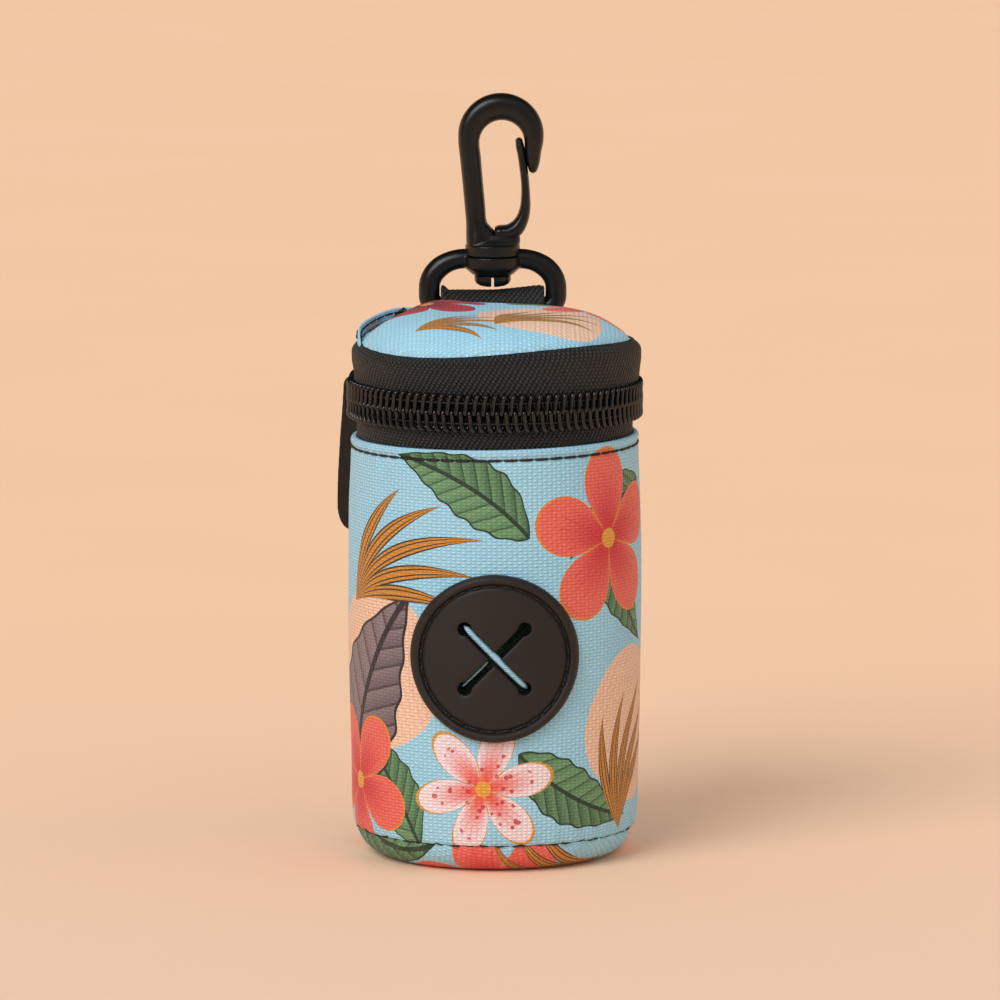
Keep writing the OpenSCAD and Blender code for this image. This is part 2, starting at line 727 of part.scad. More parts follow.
// Lofts rounded sections along a path in the XZ plane: each station is [x, z, half width, half depth]
module limb(stations, sides = 20) {
    n = len(stations);
    points = [for (i = [0:n - 1]) let (
            s = stations[i],
            ahead = stations[min(i + 1, n - 1)],
            behind = stations[max(i - 1, 0)],
            run = [ahead[0] - behind[0], ahead[1] - behind[1]],
            across = [run[1], -run[0]] / norm(run))
        for (k = [0:sides - 1]) let (
            a = 360 * k / sides,
            c = sign(cos(a)) * pow(abs(cos(a)), limb_square),
            d = sign(sin(a)) * pow(abs(sin(a)), limb_square))
        [s[0] + across[0] * s[2] * c, s[3] * d, s[1] + across[1] * s[2] * c]];
    sheath = [for (i = [0:n - 2]) for (k = [0:sides - 1]) let (
            a = i * sides + k,
            b = i * sides + (k + 1) % sides)
        each [[a, a + sides, b], [b, a + sides, b + sides]]];
    ends = [[for (k = [0:sides - 1]) k], [for (k = [sides - 1:-1:0]) (n - 1) * sides + k]];
    polyhedron(points, concat(sheath, ends), convexity = 6);
}

// A station of the bow at angle a, between its outer and inner circles
function bow_station(a) = let (
        out = [bow_x + bow_r * cos(a), bow_z + bow_r * sin(a)],
        in = [bow_in_x + bow_in_r * cos(a), bow_z - bow_drop + bow_in_r * sin(a)])
    [(out[0] + in[0]) / 2, (out[1] + in[1]) / 2, norm(out - in) / 2, hook_depth / 2];

// Snap hook: split post, collar, leg, bow and nose in one moulding
module snap_hook() color("#131315") {
    top_z = collar_z + collar_h;
    foot_r = collar_d / 2;
    leg_x = bow_x + (bow_in_r - bow_r) / 2 - leg_w * 0.76;
    half = hook_depth / 2;
    heel = [
        [0, top_z - collar_h / 3, foot_r * 0.9, foot_r * 0.875],
        [leg_x * 0.085, top_z + collar_h / 4, foot_r * 0.865, foot_r * 0.81],
        [leg_x * 0.41, top_z + root_rise * 0.7, foot_r * 0.69, half * 1.35],
        [leg_x * 0.72, top_z + root_rise * 1.22, foot_r * 0.52, half * 1.2],
        [leg_x, top_z + root_rise * 2, leg_w / 2, half * 1.08],
        [leg_x * 1.1, top_z + root_rise * 3.5, leg_w * 0.495, half]];
    bow = [for (a = [180:-15:0]) bow_station(a)];
    nose_x = bow_x + bow_r;
    nose = [
        [nose_x - leg_w * 0.375, bow_z - nose_l * 0.3, leg_w * 0.43, half * 0.96],
        [nose_x - leg_w * 0.36, bow_z - nose_l * 0.59, leg_w / 3, half * 0.9],
        [nose_x - leg_w * 0.4, bow_z - nose_l * 0.85, leg_w * 0.235, half * 0.8],
        [nose_x - leg_w * 0.43, bow_z - nose_l, leg_w * 0.1, half * 0.54]];
    translate([strap_x, bar_y, 0]) difference() {
        union() {
            limb(concat(heel, bow, nose));
            translate([0, 0, collar_z]) rotate_extrude() polygon([[0, 0], [foot_r, 0],
                [foot_r, collar_h * 0.8], [foot_r - collar_h * 0.2, collar_h], [0, collar_h]]);
            split_post();
        }
        translate([-split_w / 2, -post_d, flare_top_z - 2 * flare_h])
            cube([split_w, 2 * post_d, 1.9 * flare_h]);
        translate([root_x, 0, root_z]) rotate([90, 0, 0])
            cylinder(h = over, r = root_d / 2 + gate_gap, center = true, $fn = 48);
        limb([for (s = gate_line()) [s[0], s[1], s[2] + gate_gap, s[3] + hook_depth]]);
    }
}

// Post in the barrel with the split, flared end that was pushed through it
module split_post() {
    post_top_z = collar_z - flare_top_z + flare_h + collar_h / 9;
    chamfer = flare_h / 4;
    translate([0, 0, flare_top_z - flare_h]) rotate_extrude($fn = 48) polygon([[0, 0],
        [flare_d / 2 - chamfer, 0], [flare_d / 2, chamfer], [flare_d / 2, flare_h - chamfer],
        [post_d / 2, flare_h], [post_d / 2, post_top_z], [0, post_top_z]]);
}

// Stations of the gate's tongue, from the root to the tip
function gate_line() = let (
        half = gate_depth / 2,
        rise = bow_z - bow_drop - root_z,
        r = root_d / 2)
    [[root_x, root_z, r * 0.92, half],
    [root_x + r * 1.2, root_z + r * 0.08, r * 0.9, half],
    [root_x + r * 2.4, root_z + r * 0.56, r * 0.96, half],
    [root_x + r * 3.28, root_z + r * 1.84, r * 0.84, half],
    [root_x + r * 3.64, root_z + r * 3.6, r * 0.72, half * 0.98],
    [root_x + r * 3.6, root_z + rise * 0.5, r * 0.6, half * 0.93],
    [root_x + r * 3.24, root_z + rise * 0.76, r * 0.59, half * 0.89],
    [root_x + r * 2.72, root_z + rise * 1.01, r * 0.53, half * 0.84],
    [root_x + r * 2.6, root_z + rise * 1.05, r * 0.24, half * 0.64]];

// Springy gate: a tongue that grows from its root and closes on the inside of the nose
module hook_gate() color("#131315") {
    translate([strap_x, bar_y, 0]) {
        limb(gate_line());
        translate([root_x, 0, root_z]) rotate([90, 0, 0])
            cylinder(h = gate_depth, d = root_d, center = true, $fn = 48);
    }
}

// Roll of bags, standing on the base lining
module bag_roll() color("#5d8f55") {
    translate([0, 0, floor_z + roll_gap + core_out]) difference() {
        cylinder(h = roll_l - 2 * core_out, d = roll_d);
        translate([0, 0, -core_out]) cylinder(h = roll_l, d = core_d + 2 * ply_gap);
    }
}

// Cardboard core of the roll
module roll_core() color("#b99b72") {
    translate([0, 0, floor_z + roll_gap]) difference() {
        cylinder(h = roll_l, d = core_d);
        translate([0, 0, -core_out]) cylinder(h = roll_l + 2 * core_out, d = core_d - 2 * core_t);
    }
}

body_outer();
body_foam();
body_lining();
base_panel();
base_foam();
base_lining();
base_binding();
slit_port();
zip_tape_lower();
zip_coil_lower();
zip_stops_lower();
hinge_panel();
lid_top();
lid_foam();
lid_lining();
lid_binding();
rim_facing();
zip_tape_upper();
zip_coil_upper();
zip_stops_upper();
strap_loop();
zip_slider();
zip_puller();
swivel_ring();
snap_hook();
hook_gate();
bag_roll();
roll_core();
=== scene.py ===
import math

import bmesh
import bpy
import numpy as np
from mathutils import Matrix


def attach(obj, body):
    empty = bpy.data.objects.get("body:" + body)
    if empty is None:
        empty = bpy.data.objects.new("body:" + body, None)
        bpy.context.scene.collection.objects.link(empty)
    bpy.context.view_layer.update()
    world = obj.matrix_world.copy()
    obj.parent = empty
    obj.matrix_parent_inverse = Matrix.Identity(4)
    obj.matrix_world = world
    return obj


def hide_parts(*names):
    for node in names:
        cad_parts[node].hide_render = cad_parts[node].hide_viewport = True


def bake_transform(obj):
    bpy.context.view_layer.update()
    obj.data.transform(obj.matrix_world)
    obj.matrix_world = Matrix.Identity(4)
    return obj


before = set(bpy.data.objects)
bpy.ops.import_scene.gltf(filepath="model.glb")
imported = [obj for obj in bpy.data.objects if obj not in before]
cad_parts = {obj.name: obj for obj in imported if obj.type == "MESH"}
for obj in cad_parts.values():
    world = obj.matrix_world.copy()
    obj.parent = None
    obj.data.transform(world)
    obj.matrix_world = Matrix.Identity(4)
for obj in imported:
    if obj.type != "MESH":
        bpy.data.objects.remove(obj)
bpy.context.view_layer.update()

# Studio: a plain peach sweep of matt paper under a broad soft key lamp, a weak fill and an even
# sky. The long lens stands 1.2 m off and looks down by about eight degrees.
MM = 0.001
AIM = (0.9, 0.0, 61.3)
EYE = (0.9, -1200.0, 225.0)
LENS_MM = 252.3
PAPER = "#f6caa7"
CEILING = "#1d1915"


def linear(code):
    """An sRGB hex colour as the linear RGBA that a shader takes."""
    parts = [int(code[i:i + 2], 16) / 255 for i in (1, 3, 5)]
    return [c / 12.92 if c < 0.04045 else ((c + 0.055) / 1.055) ** 2.4 for c in parts] + [1.0]


MODE_OF = {"Math": "operation", "VectorMath": "operation", "Mix": "data_type",
           "MapRange": "interpolation_type", "Mapping": "vector_type"}


def add(tree, kind, *feeds, **named):
    """Adds one node: a word after its kind sets its mode, and feeds fill its inputs in order.

    Names with a capital are inputs, with _ for a space; the other names are settings.
    """
    kind, _, mode = kind.partition(" ")
    made = tree.nodes.new(kind if kind.startswith("Node") else "ShaderNode" + kind)
    if mode:
        setattr(made, MODE_OF[kind], mode)
    for name in [n for n in named if n[0].islower()]:
        setattr(made, name, named.pop(name))
    shown = [s for s in made.inputs if s.enabled]
    called = {s.name: s for s in reversed(shown)}
    inputs = [called[name.replace("_", " ")] for name in named]
    for socket, value in zip(shown[:len(feeds)] + inputs, [*feeds, *named.values()]):
        if isinstance(value, bpy.types.Node):
            value = next(s for s in value.outputs if s.enabled)
        if isinstance(value, bpy.types.NodeSocket):
            tree.links.new(value, socket)
        else:
            socket.default_value = linear(value) if isinstance(value, str) else value
    return made


def blank(name):
    """A new material's node tree, emptied, and the material."""
    made = bpy.data.materials.new(name)
    made.use_nodes = True
    made.node_tree.nodes.clear()
    return made, made.node_tree


def surface(made, tree, **look):
    """Ends a material with one shader of that look, and gives the material back."""
    add(tree, "OutputMaterial", add(tree, "BsdfPrincipled", **look))
    return made


def matt_paper():
    """Matt background paper: no gloss, a faint mottle that keeps it from looking flat, and painted
    light that turns it paler towards the camera.
    """
    made, t = blank("matt_paper")
    place = add(t, "TexCoord")
    mottle = add(t, "TexNoise", Vector=place.outputs["Object"], Scale=9.0, Detail=2.0)
    tone = add(t, "Mix RGBA", mottle, "#f5c6a0", "#f9cca8")
    depth = add(t, "SeparateXYZ", place.outputs["Object"])
    # Painted light: towards the camera the paper is painted a paler, greyer tone, though the paper
    # itself is one colour.
    near = add(t, "MapRange SMOOTHSTEP", Value=depth.outputs["Y"], From_Min=0.35, From_Max=-0.35)
    tone = add(t, "Mix RGBA", near, tone, "#efc8ad")
    return surface(made, t, Base_Color=tone, Roughness=0.9, Specular_IOR_Level=0.1)


SWEEP_M = 4.0
sweep = bpy.data.meshes.new("floor")
sweep.from_pydata([(x * SWEEP_M, y * SWEEP_M, 0) for x, y in ((-1, -1), (1, -1), (1, 1), (-1, 1))],
                  [], [(0, 1, 2, 3)])
floor = bpy.data.objects.new("floor", sweep)
bpy.context.collection.objects.link(floor)
floor.data.materials.append(matt_paper())

sky = bpy.data.worlds.new("sky")
bpy.context.scene.world = sky
sky.use_nodes = True
sky.node_tree.nodes.clear()
t = sky.node_tree
path = add(t, "LightPath")
# Glossy rays see a room that is darker overhead and behind the camera.
seen = add(t, "Math MAXIMUM", path.outputs["Is Camera Ray"], path.outputs["Is Transmission Ray"])
soft = add(t, "Background", Color="#fdffff", Strength=0.55)
way = add(t, "SeparateXYZ", add(t, "TexCoord").outputs["Generated"])
high = add(t, "MapRange SMOOTHSTEP", Value=way.outputs["Z"], From_Min=0.05, From_Max=0.5)
back = add(t, "MapRange SMOOTHSTEP", Value=way.outputs["Y"], From_Min=-0.75, From_Max=0.35)
room = add(t, "Mix RGBA", back, CEILING, PAPER)
room = add(t, "Mix RGBA", high, room, CEILING)
mirrored = add(t, "Background", Color=room, Strength=0.9)
shown = add(t, "Background", Color=PAPER, Strength=1.0)
first = add(t, "MixShader", path.outputs["Is Glossy Ray"], soft, mirrored)
both = add(t, "MixShader", seen, first, shown)
add(t, "OutputWorld", both)

for name, power, spread_deg, turn_deg in (("key", 2.0, 38, (52, -6, -32)),
                                          ("fill", 0.45, 80, (58, 0, 48))):
    lamp = bpy.data.lights.new(name, "SUN")
    lamp.energy = power
    lamp.angle = math.radians(spread_deg)
    lamp.color = linear("#f9fcff")[:3]
    held = bpy.data.objects.new(name, lamp)
    held.rotation_euler = [math.radians(d) for d in turn_deg]
    bpy.context.collection.objects.link(held)

camera = bpy.data.objects.new("camera", bpy.data.cameras.new("camera"))
bpy.context.collection.objects.link(camera)
bpy.context.scene.camera = camera
camera.data.lens = LENS_MM
camera.data.sensor_width = 36
camera.data.clip_end = 20
camera.location = [c * MM for c in EYE]
camera.rotation_euler = (math.radians(90) - math.atan2(EYE[2] - AIM[2], -EYE[1]), 0, 0)
bpy.context.scene.view_settings.view_transform = "Standard"

# Wall: light printed oxford cloth, quilted to foam, rolled into a tube and turned over at the hem.
# It is a shallow barrel that tucks in to the base seam; the topstitch draws a groove under the
# hem's edge.
BODY_R = 25.3
BELLY_Z = 40.0
HEM_Z = 73.1
HEM_R = 24.7
HEM_T = 0.9
FOLD_Z = 66.1
SEAM_Z = 5.0
SEAM_R = 24.05
CORNER_Z = 12.0
QUILT_T = 2.3
STITCH_Z = 71.3
HEM_TILT = 0.35
AROUND = 360
FLAT_R = 25.0
FOLD_R = 23.8
FOLD_ROUND = 0.35
BASE_TUCK = 0.955
FOLD_V = 76.0
QUILT_V = 84
YARN_X = 0.88
YARN_Y = 0.555


def barrel(z):
    """Radius of the wall at a height, before its soft dents."""
    z = np.asarray(z, float)
    belly = BODY_R - (BODY_R - HEM_R) * ((z - BELLY_Z) / (HEM_Z - BELLY_Z)) ** 2
    edge = BODY_R - (BODY_R - HEM_R) * ((CORNER_Z - BELLY_Z) / (HEM_Z - BELLY_Z)) ** 2
    down = np.clip((CORNER_Z - z) / (CORNER_Z - SEAM_Z), 0, 1)
    return np.where(z < CORNER_Z, SEAM_R + (edge - SEAM_R) * np.sqrt(1 - down ** 2), belly)


def step(x, low, high):
    """Smooth rise from 0 at low to 1 at high."""
    x = np.clip((np.asarray(x, float) - low) / (high - low), 0, 1)
    return x * x * (3 - 2 * x)


def dent(a, z):
    """How far sewing and handling move the wall in or out, in millimetres, at angle a and height z.
    """
    soft = 0.12 * np.sin(2 * a + 0.06 * z + 1.0) + 0.08 * np.sin(5 * a - 0.11 * z) * np.sin(z / 9.0)
    gather = 0.10 * np.sin(41 * a + 0.7 * np.sin(7 * a)) * np.exp(-((z - SEAM_Z) / 2.6) ** 2)
    drag = 0.05 * np.sin(27 * a + 1.4 * np.sin(3 * a)) * np.exp(-((z - STITCH_Z) / 3.0) ** 2)
    groove = -0.22 * np.exp(-((z - STITCH_Z) / 0.45) ** 2) + 0.10 * np.exp(-((z - HEM_Z + 0.7)
                                                                             / 0.6) ** 2)
    return (soft * step(z, 6, 20) * (1 - step(z, 60, 70)) + gather + drag + groove)


def round_at(a, r, z):
    """Point at angle a from the front, towards the left, at radius r and height z."""
    return np.stack(np.broadcast_arrays(-r * np.sin(a), -r * np.cos(a), z), -1)


def wall_point(a, z, lift=0.0):
    """Point on the cloth of the wall at angle a and height z, lifted off it."""
    r = barrel(z) + dent(a, z) + lift
    up = HEM_TILT * -np.sin(a) * step(z, 62, HEM_Z)
    return round_at(a, r, z + up)


def skin(name, points, flat=None, around=False, loop=False, weld=False):
    """A piece skinned over a grid of points in millimetres; around and loop join its columns and
    rows end to end.

    flat holds the place of each point on the cloth before it was sewn, as (u, v) in millimetres.
    """
    rows, cols = points.shape[:2]
    i, j = np.meshgrid(np.arange(rows - (not loop)), np.arange(cols - (not around)), indexing="ij")
    corners = [(i.ravel() + p, j.ravel() + q) for p, q in ((0, 0), (0, 1), (1, 1), (1, 0))]
    faces = np.stack([(p % rows) * cols + q % cols for p, q in corners], 1)
    mesh = bpy.data.meshes.new(name)
    mesh.from_pydata((points.reshape(-1, 3) * MM).tolist(), [], faces.tolist())
    if flat is not None:
        layer = mesh.uv_layers.new(name="cloth")
        layer.data.foreach_set("uv", np.stack([flat[p, q] for p, q in corners], 1).ravel())
    return finish_piece(name, mesh, weld)


def finish_piece(name, mesh, weld=False):
    """Welds a mesh if asked, faces it outwards, shades it smooth and puts it in the scene."""
    b = bmesh.new()
    b.from_mesh(mesh)
    if weld:
        bmesh.ops.remove_doubles(b, verts=b.verts, dist=2e-6)
    bmesh.ops.recalc_face_normals(b, faces=b.faces)
    for face in b.faces:
        face.smooth = True
    b.to_mesh(mesh)
    b.free()
    made = bpy.data.objects.new(name, mesh)
    bpy.context.collection.objects.link(made)
    return made


def turns(count):
    """Angles once round the pouch, with the joint at the back."""
    return np.pi - 2 * np.pi * np.arange(count) / count


def flat_grid(count, v):
    """Flat places for a grid that goes right round, one column more than its points."""
    u = -(np.pi - 2 * np.pi * np.arange(count + 1) / count) * FLAT_R
    v = np.asarray(v, float)
    return np.stack(np.broadcast_arrays(u[None, :], v[:, None]), -1)


def motif_tree(name, *inputs):
    """A node group for one printed motif: from its own coordinates to its ink and where it lies."""
    tree = bpy.data.node_groups.new(name, "ShaderNodeTree")
    for way, labels in (("INPUT", ("Place", *inputs)), ("OUTPUT", ("Ink", "Where"))):
        for label in labels:
            kind = "Vector" if label == "Place" else "Color" if "Ink" in label else "Float"
            tree.interface.new_socket(label, in_out=way, socket_type="NodeSocket" + kind)
    return tree, tree.nodes.new("NodeGroupInput").outputs


def blossom_tree():
    """A flower seen from above: rounded petals round a heart, with fine veins and an outline."""
    t, given = motif_tree("blossom", "Ink tip", "Ink root", "Ink line", "Petals", "Round", "Line",
                          "Spots")
    x = add(t, "SeparateXYZ", given["Place"])
    far = add(t, "VectorMath LENGTH", given["Place"]).outputs["Value"]
    turn = add(t, "Math ARCTAN2", x.outputs["Y"], x.outputs["X"])
    swing = add(t, "Math MULTIPLY", turn, add(t, "Math MULTIPLY", given["Petals"], 0.5))
    wave = add(t, "Math ABSOLUTE", add(t, "Math COSINE", swing))
    reach = add(t, "Math MULTIPLY_ADD", add(t, "Math POWER", wave, given["Round"]), 0.66, 0.34)
    share = add(t, "Math DIVIDE", far, reach)
    where = add(t, "Math LESS_THAN", share, 1.0)
    fade = add(t, "MapRange SMOOTHSTEP", Value=share, From_Min=0.1, From_Max=0.85)
    ink = add(t, "Mix RGBA", fade, given["Ink root"], given["Ink tip"])
    fan = add(t, "Math MULTIPLY", swing, 14.0)
    vein = add(t, "Math GREATER_THAN", add(t, "Math SINE", fan), 0.86)
    vein = add(t, "Math MULTIPLY", vein, add(t, "Math LESS_THAN", share, 0.72))
    ink = add(t, "Mix RGBA", add(t, "Math MULTIPLY", vein, 0.35), ink, given["Ink root"])
    fleck = add(t, "TexVoronoi", Vector=given["Place"], Scale=8.5)
    fleck = add(t, "Math LESS_THAN", fleck.outputs["Distance"], 0.27)
    fleck = add(t, "Math MULTIPLY", fleck, add(t, "Math LESS_THAN", share, 0.74))
    ink = add(t, "Mix RGBA", add(t, "Math MULTIPLY", fleck, given["Spots"]), ink, "#c9303a")
    edge = add(t, "Math GREATER_THAN", share, add(t, "Math SUBTRACT", 1.0, given["Line"]))
    edge = add(t, "Math MAXIMUM", edge, add(t, "Math LESS_THAN", wave, 0.1))
    ink = add(t, "Mix RGBA", edge, ink, given["Ink line"])
    ink = add(t, "Mix RGBA", add(t, "Math LESS_THAN", far, 0.11), ink, "#e9a23a")
    add(t, "NodeGroupOutput", Ink=ink, Where=where)
    return t


def leaf_tree():
    """A pointed leaf along +X with a bent midrib, paired side veins and one half in shade."""
    t, given = motif_tree("leaf", "Ink light", "Ink dark", "Ink line", "Width", "Bend", "Line")
    p = add(t, "SeparateXYZ", given["Place"])
    x, y = p.outputs["X"], p.outputs["Y"]
    along = add(t, "Clamp", x)
    arch = add(t, "Math MULTIPLY", along, add(t, "Math SUBTRACT", 1.0, along))
    off = add(t, "Math MULTIPLY_ADD", arch, given["Bend"], y)
    side = add(t, "Math ABSOLUTE", off)
    belly = add(t, "Math SINE", add(t, "Math MULTIPLY", add(t, "Math POWER", along, 0.75), math.pi))
    ripple = add(t, "Math SINE", add(t, "Math MULTIPLY", x, 44.0))
    belly = add(t, "Math MULTIPLY", belly, add(t, "Math MULTIPLY_ADD", ripple, 0.045, 0.955))
    half = add(t, "Math MULTIPLY", belly, given["Width"])
    where = add(t, "Math GREATER_THAN", half, side)
    edge = add(t, "Math GREATER_THAN", side, add(t, "Math SUBTRACT", half, given["Line"]))
    slant = add(t, "Math MULTIPLY", add(t, "Math MULTIPLY_ADD", side, -0.85, x), 10.0)
    slant = add(t, "Math FRACT", slant)
    vein = add(t, "Math LESS_THAN", slant, 0.14)
    rib = add(t, "Math LESS_THAN", side, 0.013)
    shade = add(t, "MapRange", Value=slant, From_Min=0.1, From_Max=1.0, To_Min=0.75, To_Max=0.1)
    lit = add(t, "Math GREATER_THAN", off, 0.0)
    shade = add(t, "Math MULTIPLY_ADD", lit, -0.35, shade, use_clamp=True)
    ink = add(t, "Mix RGBA", shade, given["Ink light"], given["Ink dark"])
    lines = add(t, "Math MAXIMUM", add(t, "Math MULTIPLY", vein, 0.55), rib)
    ink = add(t, "Mix RGBA", add(t, "Math MAXIMUM", lines, edge), ink, given["Ink line"])
    add(t, "NodeGroupOutput", Ink=ink, Where=where)
    return t


def reed_tree():
    """A tuft of narrow striped reeds that fan out from one point and bend over."""
    t, given = motif_tree("reeds", "Ink light", "Ink dark", "Blades", "Gap", "Bend", "Width")
    p = add(t, "SeparateXYZ", given["Place"])
    far = add(t, "VectorMath LENGTH", given["Place"]).outputs["Value"]
    turn = add(t, "Math ARCTAN2", p.outputs["Y"], p.outputs["X"])
    turn = add(t, "Math MULTIPLY_ADD", far, given["Bend"], turn)
    blade = add(t, "Math DIVIDE", turn, given["Gap"])
    number = add(t, "Math ROUND", blade)
    aside = add(t, "Math MULTIPLY", add(t, "Math SUBTRACT", blade, number), given["Gap"])
    side = add(t, "Math ABSOLUTE", add(t, "Math MULTIPLY", aside, far))
    rank = add(t, "Math ABSOLUTE", number)
    kept = add(t, "Math GREATER_THAN", given["Blades"], rank)
    reach = add(t, "Math MULTIPLY_ADD", rank, -0.11, 1.0)
    bulge = add(t, "Math MULTIPLY", add(t, "Math DIVIDE", far, reach, use_clamp=True), math.pi)
    half = add(t, "Math MULTIPLY", add(t, "Math SINE", bulge), given["Width"])
    where = add(t, "Math MULTIPLY", add(t, "Math GREATER_THAN", half, side), kept)
    ratio = add(t, "Math DIVIDE", side, half)
    edge = add(t, "Math GREATER_THAN", ratio, 0.78)
    edge = add(t, "Math MAXIMUM", edge, add(t, "Math COMPARE", ratio, 0.38, 0.09))
    ink = add(t, "Mix RGBA", edge, given["Ink light"], given["Ink dark"])
    add(t, "NodeGroupOutput", Ink=ink, Where=where)
    return t


def patch_tree():
    """A soft-cornered, faintly hatched patch of colour, as a ground behind other motifs."""
    t, given = motif_tree("patch", "Ink light", "Ink dark", "Power")
    p = add(t, "SeparateXYZ", given["Place"])
    ax = add(t, "Math ABSOLUTE", p.outputs["X"])
    ay = add(t, "Math ABSOLUTE", p.outputs["Y"])
    px = add(t, "Math POWER", ax, given["Power"])
    size = add(t, "Math ADD", px, add(t, "Math POWER", ay, given["Power"]))
    where = add(t, "Math LESS_THAN", size, 1.0)
    hatch = add(t, "Math MULTIPLY", p.outputs["X"], 60.0)
    hatch = add(t, "Math MULTIPLY_ADD", add(t, "Math SINE", hatch), 0.25, 0.3)
    ink = add(t, "Mix RGBA", hatch, given["Ink light"], given["Ink dark"])
    add(t, "NodeGroupOutput", Ink=ink, Where=where)
    return t


MOTIFS = {"blossom": blossom_tree(), "leaf": leaf_tree(), "reeds": reed_tree(),
          "patch": patch_tree()}
# Each ink set gives a motif and the values of its inputs, in their order.
INKS = {
    "coral": ("blossom", "#ef6a5a", "#d8323a", "#e8862e", 5.0, 0.55, 0.035, 0.0),
    "ruby": ("blossom", "#c22438", "#8e1226", "#5d1020", 5.0, 0.6, 0.03, 0.0),
    "pale": ("blossom", "#f6dfe0", "#ee5a48", "#d99a3f", 6.0, 0.95, 0.05, 0.85),
    "green": ("leaf", "#6f9a6c", "#35583a", "#27402c", 0.2, 0.35, 0.012),
    "mauve": ("leaf", "#8e7b7d", "#5c4d52", "#33282e", 0.24, -0.3, 0.013),
    "reeds": ("reeds", "#d18b33", "#43301f", 2.5, 0.24, 0.5, 0.045),
    "peach": ("patch", "#f6cdb0", "#efb893", 2.4),
}


def printed_oxford(name, layout):
    """Coated polyester oxford with a heat-transfer print, its own plain flower and leaf design.

    The eye sees staggered oval floats of yarn 0.88 mm apart; each float's crown is painted lighter
    as a small glint, and the ink is painted darker between them as shade.
    """
    made, t = blank(name)
    flat = add(t, "UVMap", uv_map="cloth")
    wash = add(t, "TexNoise", Vector=flat, Scale=0.09, Detail=3.0)
    ink = add(t, "Mix RGBA", wash, "#93cbe4", "#abdbec")
    for kind, u, v, turn, size in layout:
        drawn, *inks = INKS[kind]
        place = add(t, "Mapping TEXTURE", Vector=flat, Location=(u, v, 0),
                    Rotation=(0, 0, math.radians(turn)), Scale=(size, size, 1))
        motif = add(t, "Group", place, *inks, node_tree=MOTIFS[drawn])
        ink = add(t, "Mix RGBA", motif.outputs["Where"], ink, motif.outputs["Ink"])
    p = add(t, "SeparateXYZ", flat)
    warp = add(t, "Math COSINE", add(t, "Math MULTIPLY", p.outputs["X"], math.pi / YARN_X))
    weft = add(t, "Math COSINE", add(t, "Math MULTIPLY", p.outputs["Y"], math.pi / YARN_Y))
    cross = add(t, "Math MULTIPLY", warp, weft)
    yarn = add(t, "Math MAXIMUM", cross, add(t, "Math MULTIPLY", cross, -0.45))
    slub = add(t, "TexNoise", Vector=flat, Scale=1.3, Detail=1.0)
    yarn_high = add(t, "Math MULTIPLY_ADD", slub, 0.5, yarn)
    # Painted light and shade: the ink is made lighter on each yarn float's crown and darker in the
    # gaps between floats.
    tone = add(t, "MapRange", Value=yarn, From_Min=0.0, From_Max=0.8, To_Min=0.78, To_Max=1.1)
    ink = add(t, "VectorMath MULTIPLY", ink, tone)
    bump = add(t, "Bump", Height=yarn_high, Strength=0.8, Distance=0.00022)
    return surface(made, t, Base_Color=ink, Roughness=0.55, Specular_IOR_Level=0.4,
                   Sheen_Weight=0.08, Normal=bump)


WALL_LAYOUT = [("peach", -24, 34, 20, 14), ("peach", 30, 24, -30, 13), ("peach", 66, 56, 0, 13),
               ("peach", -66, 24, 10, 12), ("green", 6, 58, 150, 28), ("green", 20, 62, -60, 28),
               ("green", 34, 66, -150, 24), ("green", -14, 4, 128, 26), ("green", 4, 21, -28, 27),
               ("mauve", -33, 8, 66, 44), ("mauve", 58, 12, 100, 40), ("reeds", -31, 45, 52, 32),
               ("reeds", 26, 6, 100, 27), ("coral", 22, 57, 20, 15.5), ("pale", -2, 15, 12, 12.5),
               ("coral", -30, 14, -20, 14), ("green", -62, 44, 40, 28), ("ruby", -60, 58, 0, 12),
               ("pale", 62, 34, 30, 11), ("reeds", -78, 10, 70, 26)]

rows_z = np.concatenate([SEAM_Z + 0.05 + 7 * np.linspace(0, 1, 22) ** 1.6,
                         np.linspace(12.6, 69.4, 62), np.linspace(69.8, HEM_Z - FOLD_ROUND, 14)])
angles = turns(AROUND)
outside = [wall_point(angles, z) for z in rows_z]
seam = wall_point(angles, SEAM_Z + 0.04)
tuck = [seam * (1 - k) + seam * k * [BASE_TUCK, BASE_TUCK, 1] for k in (1.0, 0.5)]
top = wall_point(angles, HEM_Z - FOLD_ROUND)
spin = np.hypot(top[:, 0], top[:, 1])
turned = []
for k in np.radians(np.linspace(20, 160, 8)):
    to = HEM_R - HEM_T / 2 + HEM_T / 2 * np.cos(k)
    turned.append(np.stack([top[:, 0] / spin * to, top[:, 1] / spin * to,
                            top[:, 2] + FOLD_ROUND * np.sin(k)], -1))
inside_z = [HEM_Z - 0.6, 70.0, FOLD_Z]
folded = [round_at(angles, FOLD_R, z) for z in inside_z]
quilt = [round_at(angles, barrel(z) - QUILT_T, z)
         for z in np.linspace(FOLD_Z - 0.3, SEAM_Z + 0.3, 30)]
grid = np.stack(tuck + outside + turned + folded + quilt)
v = np.concatenate([[SEAM_Z - 1, SEAM_Z - 0.5], rows_z, HEM_Z + np.linspace(0, 1, 8),
                    FOLD_V - np.array(inside_z) + HEM_Z, QUILT_V + np.linspace(0, 60, 30),
                    [SEAM_Z - 1]])
wall = skin("wall_cloth", grid, flat_grid(AROUND, v), around=True, loop=True)


